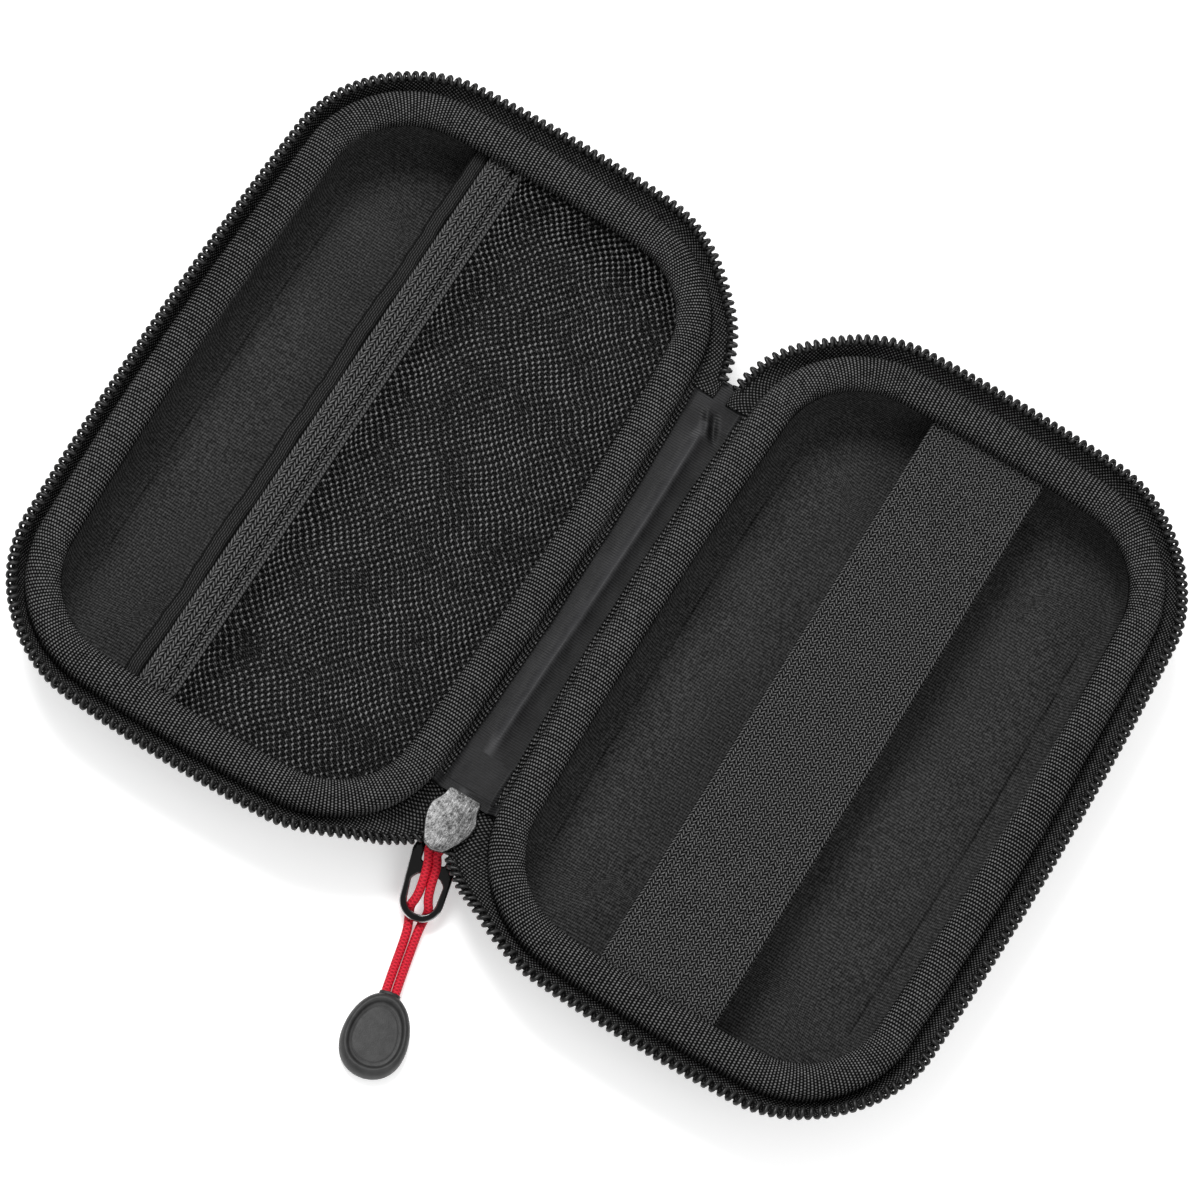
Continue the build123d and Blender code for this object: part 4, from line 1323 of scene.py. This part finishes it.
def three_point_arc(a, b, c, count):
    """Points on the circle through three points, from the first to the last by way of the second."""
    (ax, ay), (bx, by), (cx, cy) = a, b, c
    d = 2 * (ax * (by - cy) + bx * (cy - ay) + cx * (ay - by))
    squares = [x * x + y * y for x, y in (a, b, c)]
    ux = (squares[0] * (by - cy) + squares[1] * (cy - ay) + squares[2] * (ay - by)) / d
    uy = (squares[0] * (cx - bx) + squares[1] * (ax - cx) + squares[2] * (bx - ax)) / d
    angles = np.unwrap([atan2(y - uy, x - ux) for x, y in (a, b, c)])
    radius = sqrt((ax - ux) ** 2 + (ay - uy) ** 2)
    return [(ux + radius * cos(t), uy + radius * sin(t)) for t in np.linspace(angles[0], angles[2], count)]


def rounded_loop(points, radius, steps=5):
    """Closed outline with each corner cut back and rounded by a quadratic curve."""
    out = []
    count = len(points)
    for i in range(count):
        here = np.array(points[i], float)
        before, after = np.array(points[i - 1], float), np.array(points[(i + 1) % count], float)
        back = min(radius, 0.4 * np.linalg.norm(before - here))
        ahead = min(radius, 0.4 * np.linalg.norm(after - here))
        start = here + (before - here) / np.linalg.norm(before - here) * back
        end = here + (after - here) / np.linalg.norm(after - here) * ahead
        for t in np.linspace(0, 1, steps):
            out.append(tuple((1 - t) ** 2 * start + 2 * t * (1 - t) * here + t * t * end))
    return out


SLIDER_MIDDLE_Y = -62.8
SLIDER_BEVEL = 0.34


def slider_outline(nose):
    """Shield outline of a plate: square tail, wide shoulders and a nose that reaches that far."""
    side = [(3.9, 6.5), (4.15, 4.1), (5.5, 1.6), (5.35, -1.0), (4.4, -3.6), (2.5, 0.9 - nose), (0, -nose)]
    loop = side + [(-x, y) for x, y in reversed(side[:-1])]
    return rounded_loop(loop, 0.8)


def make_slider():
    low, high = node_box("slider_body")
    for name, z, nose in (("slider_back_plate", high[2] - PLATE_THICK / 2, 8.0),
                          ("slider_front_plate", low[2] + PLATE_THICK / 2, 6.8)):
        placing = Matrix.Translation((SPINE_X * MM, SLIDER_MIDDLE_Y * MM, z * MM))
        piece = plate(name, slider_outline(nose), [], PLATE_THICK, SLIDER_BEVEL, placing, MATERIALS["slider"])
        attach(piece, "zip_slider", "slider_metal", "slider_body")
    gap_low, gap_high = low[2] + PLATE_THICK, PLATE_GAP_TOP
    post = rounded_loop([(0, -1.5), (1.2, -4.2), (0, -5.8), (-1.2, -4.2)], 0.5)
    blocks = [("slider_post", post, (0, 0), gap_high)]
    flange = rounded_loop([(-0.4, -1.8), (0.4, -1.8), (0.4, 1.8), (-0.4, 1.8)], 0.3)
    lip = gap_low + 1.0
    blocks += [("slider_left_flange", flange, (-3.45, 4.4), lip),
               ("slider_right_flange", flange, (3.45, 4.4), lip)]
    for name, outline, (dx, dy), top in blocks:
        block_low, block_high = gap_low - 0.2, top + 0.2
        z = (block_low + block_high) / 2
        placing = Matrix.Translation(((SPINE_X + dx) * MM, (SLIDER_MIDDLE_Y + dy) * MM, z * MM))
        piece = plate(name, outline, [], block_high - block_low, 0.1, placing, MATERIALS["slider"])
        attach(piece, "zip_slider", "slider_metal", "slider_body")
    low, high = node_box("slider_bridge")
    wide, tall = high[1] - low[1], high[2] - low[2]
    outline = rounded_loop([(0, 0), (wide, 0), (wide, tall), (0, tall)], 0.9)
    hole = rounded_loop([(1.2, 1.0), (wide - 1.2, 1.0), (wide - 1.2, tall - 0.1), (1.2, tall - 0.1)], 0.6)
    turn = Matrix(((0, 0, 1), (1, 0, 0), (0, 1, 0))).to_4x4()
    placing = Matrix.Translation((SPINE_X * MM, low[1] * MM, low[2] * MM)) @ turn
    piece = plate("slider_bridge_loop", outline, [hole[::-1]], high[0] - low[0] - 0.5, 0.3, placing,
                  MATERIALS["slider"])
    attach(piece, "zip_slider", "slider_metal", "slider_bridge")


# Ring frame: along runs from the pivot to the lower bar, across to the left, lift out of its face
RING_AT = PIVOT
RING_YAW = radians(15)
RING_DROP = radians(16.3)
RING_ALONG = Vector((sin(RING_YAW) * cos(RING_DROP), -cos(RING_YAW) * cos(RING_DROP), -sin(RING_DROP)))
RING_ACROSS = Vector((-cos(RING_YAW), -sin(RING_YAW), 0))
RING_LIFT = RING_ACROSS.cross(RING_ALONG)
RING_THICK = 1.6
RING_BEVEL = 0.42


def make_ring():
    """Flat metal ring: a bar in the bridge, a slot, a plate, and a window with a round end."""
    end = 12.7
    right = [(4.8, end), (5.2, 2.4), (4.0, -0.9)]
    arch = three_point_arc((-4.8, end), (0, 17.5), (4.8, end), 30)
    outline = arch + right[1:] + [(-x, y) for x, y in reversed(right[1:])]
    outline = rounded_loop(outline, 0.9)
    inner = 3.5
    arch = three_point_arc((0.3 - inner, 12.4), (0, 15.8), (inner - 0.3, 12.4), 26)
    window = arch + [(inner, 8.8), (inner - 1.3, 7.4), (1.3 - inner, 7.4), (-inner, 8.8)]
    window = rounded_loop(window, 0.5)
    slot = rounded_loop([(-2.6, 0.9), (2.6, 0.9), (2.6, 4.6), (-2.6, 4.6)], 0.6)
    placing = Matrix((RING_ACROSS, RING_ALONG, RING_LIFT)).transposed().to_4x4()
    placing = Matrix.Translation(RING_AT) @ placing
    piece = plate("puller_ring_plate", outline, [window, slot], RING_THICK, RING_BEVEL, placing,
                  MATERIALS["ring"])
    attach(piece, "puller", "ring_metal", "puller_ring")


# --- cord --------------------------------------------------------------------------------------

CORD_D = 0.002
PULL_YAW = radians(13.2)

# In metres: (along, lift) in the ring's frame, then (x, y, z), each with half the strands' spacing
UPPER_ROUTE = [(0.0144, -0.0005, 0.0021), (0.0124, 0.0009, 0.0012), (0.0094, 0.00195, 0.00094),
               (0.0046, 0.0023, 0.00098)]
UNDER_BAR = (0.0166, -0.0026, 0.0016)
LOWER_ROUTE = [(-0.0529, -0.0835, 0.0019, 0.00115), (-0.0522, -0.0865, 0.00135, 0.00105),
               (-0.0512, -0.0912, 0.00125, 0.00105), (-0.0500, -0.0966, 0.0022, 0.00105)]
BRIDGE_TURN = [(-0.0692, 0.0097, 0.00098), (-0.0676, 0.0101, 0.0013), (-0.0660, 0.0102, 0.0015),
               (-0.0648, 0.0102, 0.0007)]
INSIDE_PULL = (-0.0492, -0.0998, 0.0024, 0.00105)


def strand_controls(side):
    """Control points of one strand, from the rubber pull up to the turn behind the bridge's foot."""
    points = []
    aside = Vector((cos(PULL_YAW), sin(PULL_YAW), 0))
    for x, y, z, half in (INSIDE_PULL, *reversed(LOWER_ROUTE)):
        points.append(Vector((x, y, z)) + aside * side * half)
    for along, lift, half in (UNDER_BAR, *UPPER_ROUTE):
        here = RING_AT + RING_ALONG * along + RING_LIFT * lift
        points.append(here - RING_ACROSS * side * half)
    for y, z, half in BRIDGE_TURN:
        points.append(Vector((PIVOT.x + side * half, y, z)))
    return points


def nurbs_points(controls, steps=14):
    """Points read from a smooth open spline through those control points."""
    curve = bpy.data.curves.new("cord_route", "CURVE")
    curve.dimensions, curve.resolution_u = "3D", steps
    spline = curve.splines.new("NURBS")
    spline.points.add(len(controls) - 1)
    for point, place in zip(spline.points, controls):
        point.co = (*place, 1)
    spline.order_u = 3
    spline.use_endpoint_u = True
    holder = bpy.data.objects.new("cord_route", curve)
    bpy.context.scene.collection.objects.link(holder)
    bpy.context.view_layer.update()
    mesh = bpy.data.meshes.new_from_object(holder)
    bpy.data.objects.remove(holder)
    return [tuple(vertex.co) for vertex in mesh.vertices]


def make_cord():
    controls = strand_controls(1) + strand_controls(-1)[::-1]
    path = nurbs_points(controls)
    points = np.array(path) / MM
    points = points[np.concatenate([[True], np.linalg.norm(np.diff(points, axis=0), axis=1) > 1e-4])]
    points = resample(points, 380)
    piece = tube("pull_cord", points, CORD_D / MM / 2, 20, MATERIALS["cord"])
    attach(piece, None, "cord", "pull_cord_upper", "pull_cord_lower")
    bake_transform(piece)
    return piece


# --- rubber pull -------------------------------------------------------------------------------

def make_pull():
    """Egg-shaped moulded pull: a rounded rim, a sloped step and a flat recessed face."""
    low, high = node_box("rubber_pull")
    last = Vector(LOWER_ROUTE[-1][:3]) / MM
    reach = 11.0
    centre = Vector((last.x + reach * sin(PULL_YAW), last.y - reach * cos(PULL_YAW), 0))
    half_long, half_wide, thick = 9.6, 7.4, high[2] - low[2]
    sections = [(0.0, 0.05), (0.55, 0.05), (0.80, 0.05), (0.90, 0.35), (0.96, 0.95), (0.995, 1.7),
                (1.0, 2.3), (0.995, 3.0), (0.965, 3.75), (0.925, 4.2), (0.885, 4.45), (0.85, 4.55),
                (0.815, 4.5), (0.785, 4.3), (0.765, 4.0), (0.75, 3.78), (0.735, 3.68), (0.71, 3.64),
                (0.665, 3.62), (0.655, 3.56), (0.645, 3.62), (0.60, 3.63), (0.4, 3.66), (0.2, 3.68),
                (0.0, 3.68)]
    count = 96
    turn = np.arange(count) * 2 * pi / count
    egg = 1.0 - 0.11 * np.sin(turn) - 0.03 * np.cos(2 * turn)
    grid = np.zeros((count, len(sections), 3))
    for k, (share, z) in enumerate(sections):
        x = half_wide * share * np.cos(turn) * egg
        y = half_long * share * np.sin(turn) - 0.3 * (1 - share) - 0.7
        grid[:, k] = np.stack([x, y, np.full(count, z * thick / 4.6)], -1)
    cy, sy = cos(PULL_YAW), sin(PULL_YAW)
    x = centre.x + grid[..., 0] * cy - grid[..., 1] * sy
    y = centre.y + grid[..., 0] * sy + grid[..., 1] * cy
    grid[..., 0], grid[..., 1] = x, y
    along = np.arange(count + 1) / count * 55
    across = path_length(np.array(sections) * (7.5, 1.0))
    body = merged(surface("rubber_pull_body", grid, MATERIALS["rubber"], along, across, (True, False)))
    line = np.array([(centre.x - b * sy, centre.y + b * cy, thick / 2 - 0.1) for b in (6.9, 8.0, 9.1)])
    neck = tube("rubber_pull_neck", resample(line, 14), 2.3, 28, MATERIALS["rubber"], 0.66)
    for piece in (body, neck):
        attach(piece, "grip", "pull_rubber", "rubber_pull")
    return body


# --- run ---------------------------------------------------------------------------------------

make_camera()
make_materials()
pull_piece = make_pull()
make_cord()
make_studio()
make_trays()
make_strap()
make_bartacks()
make_pocket()
make_spine()
make_slider()
make_ring()
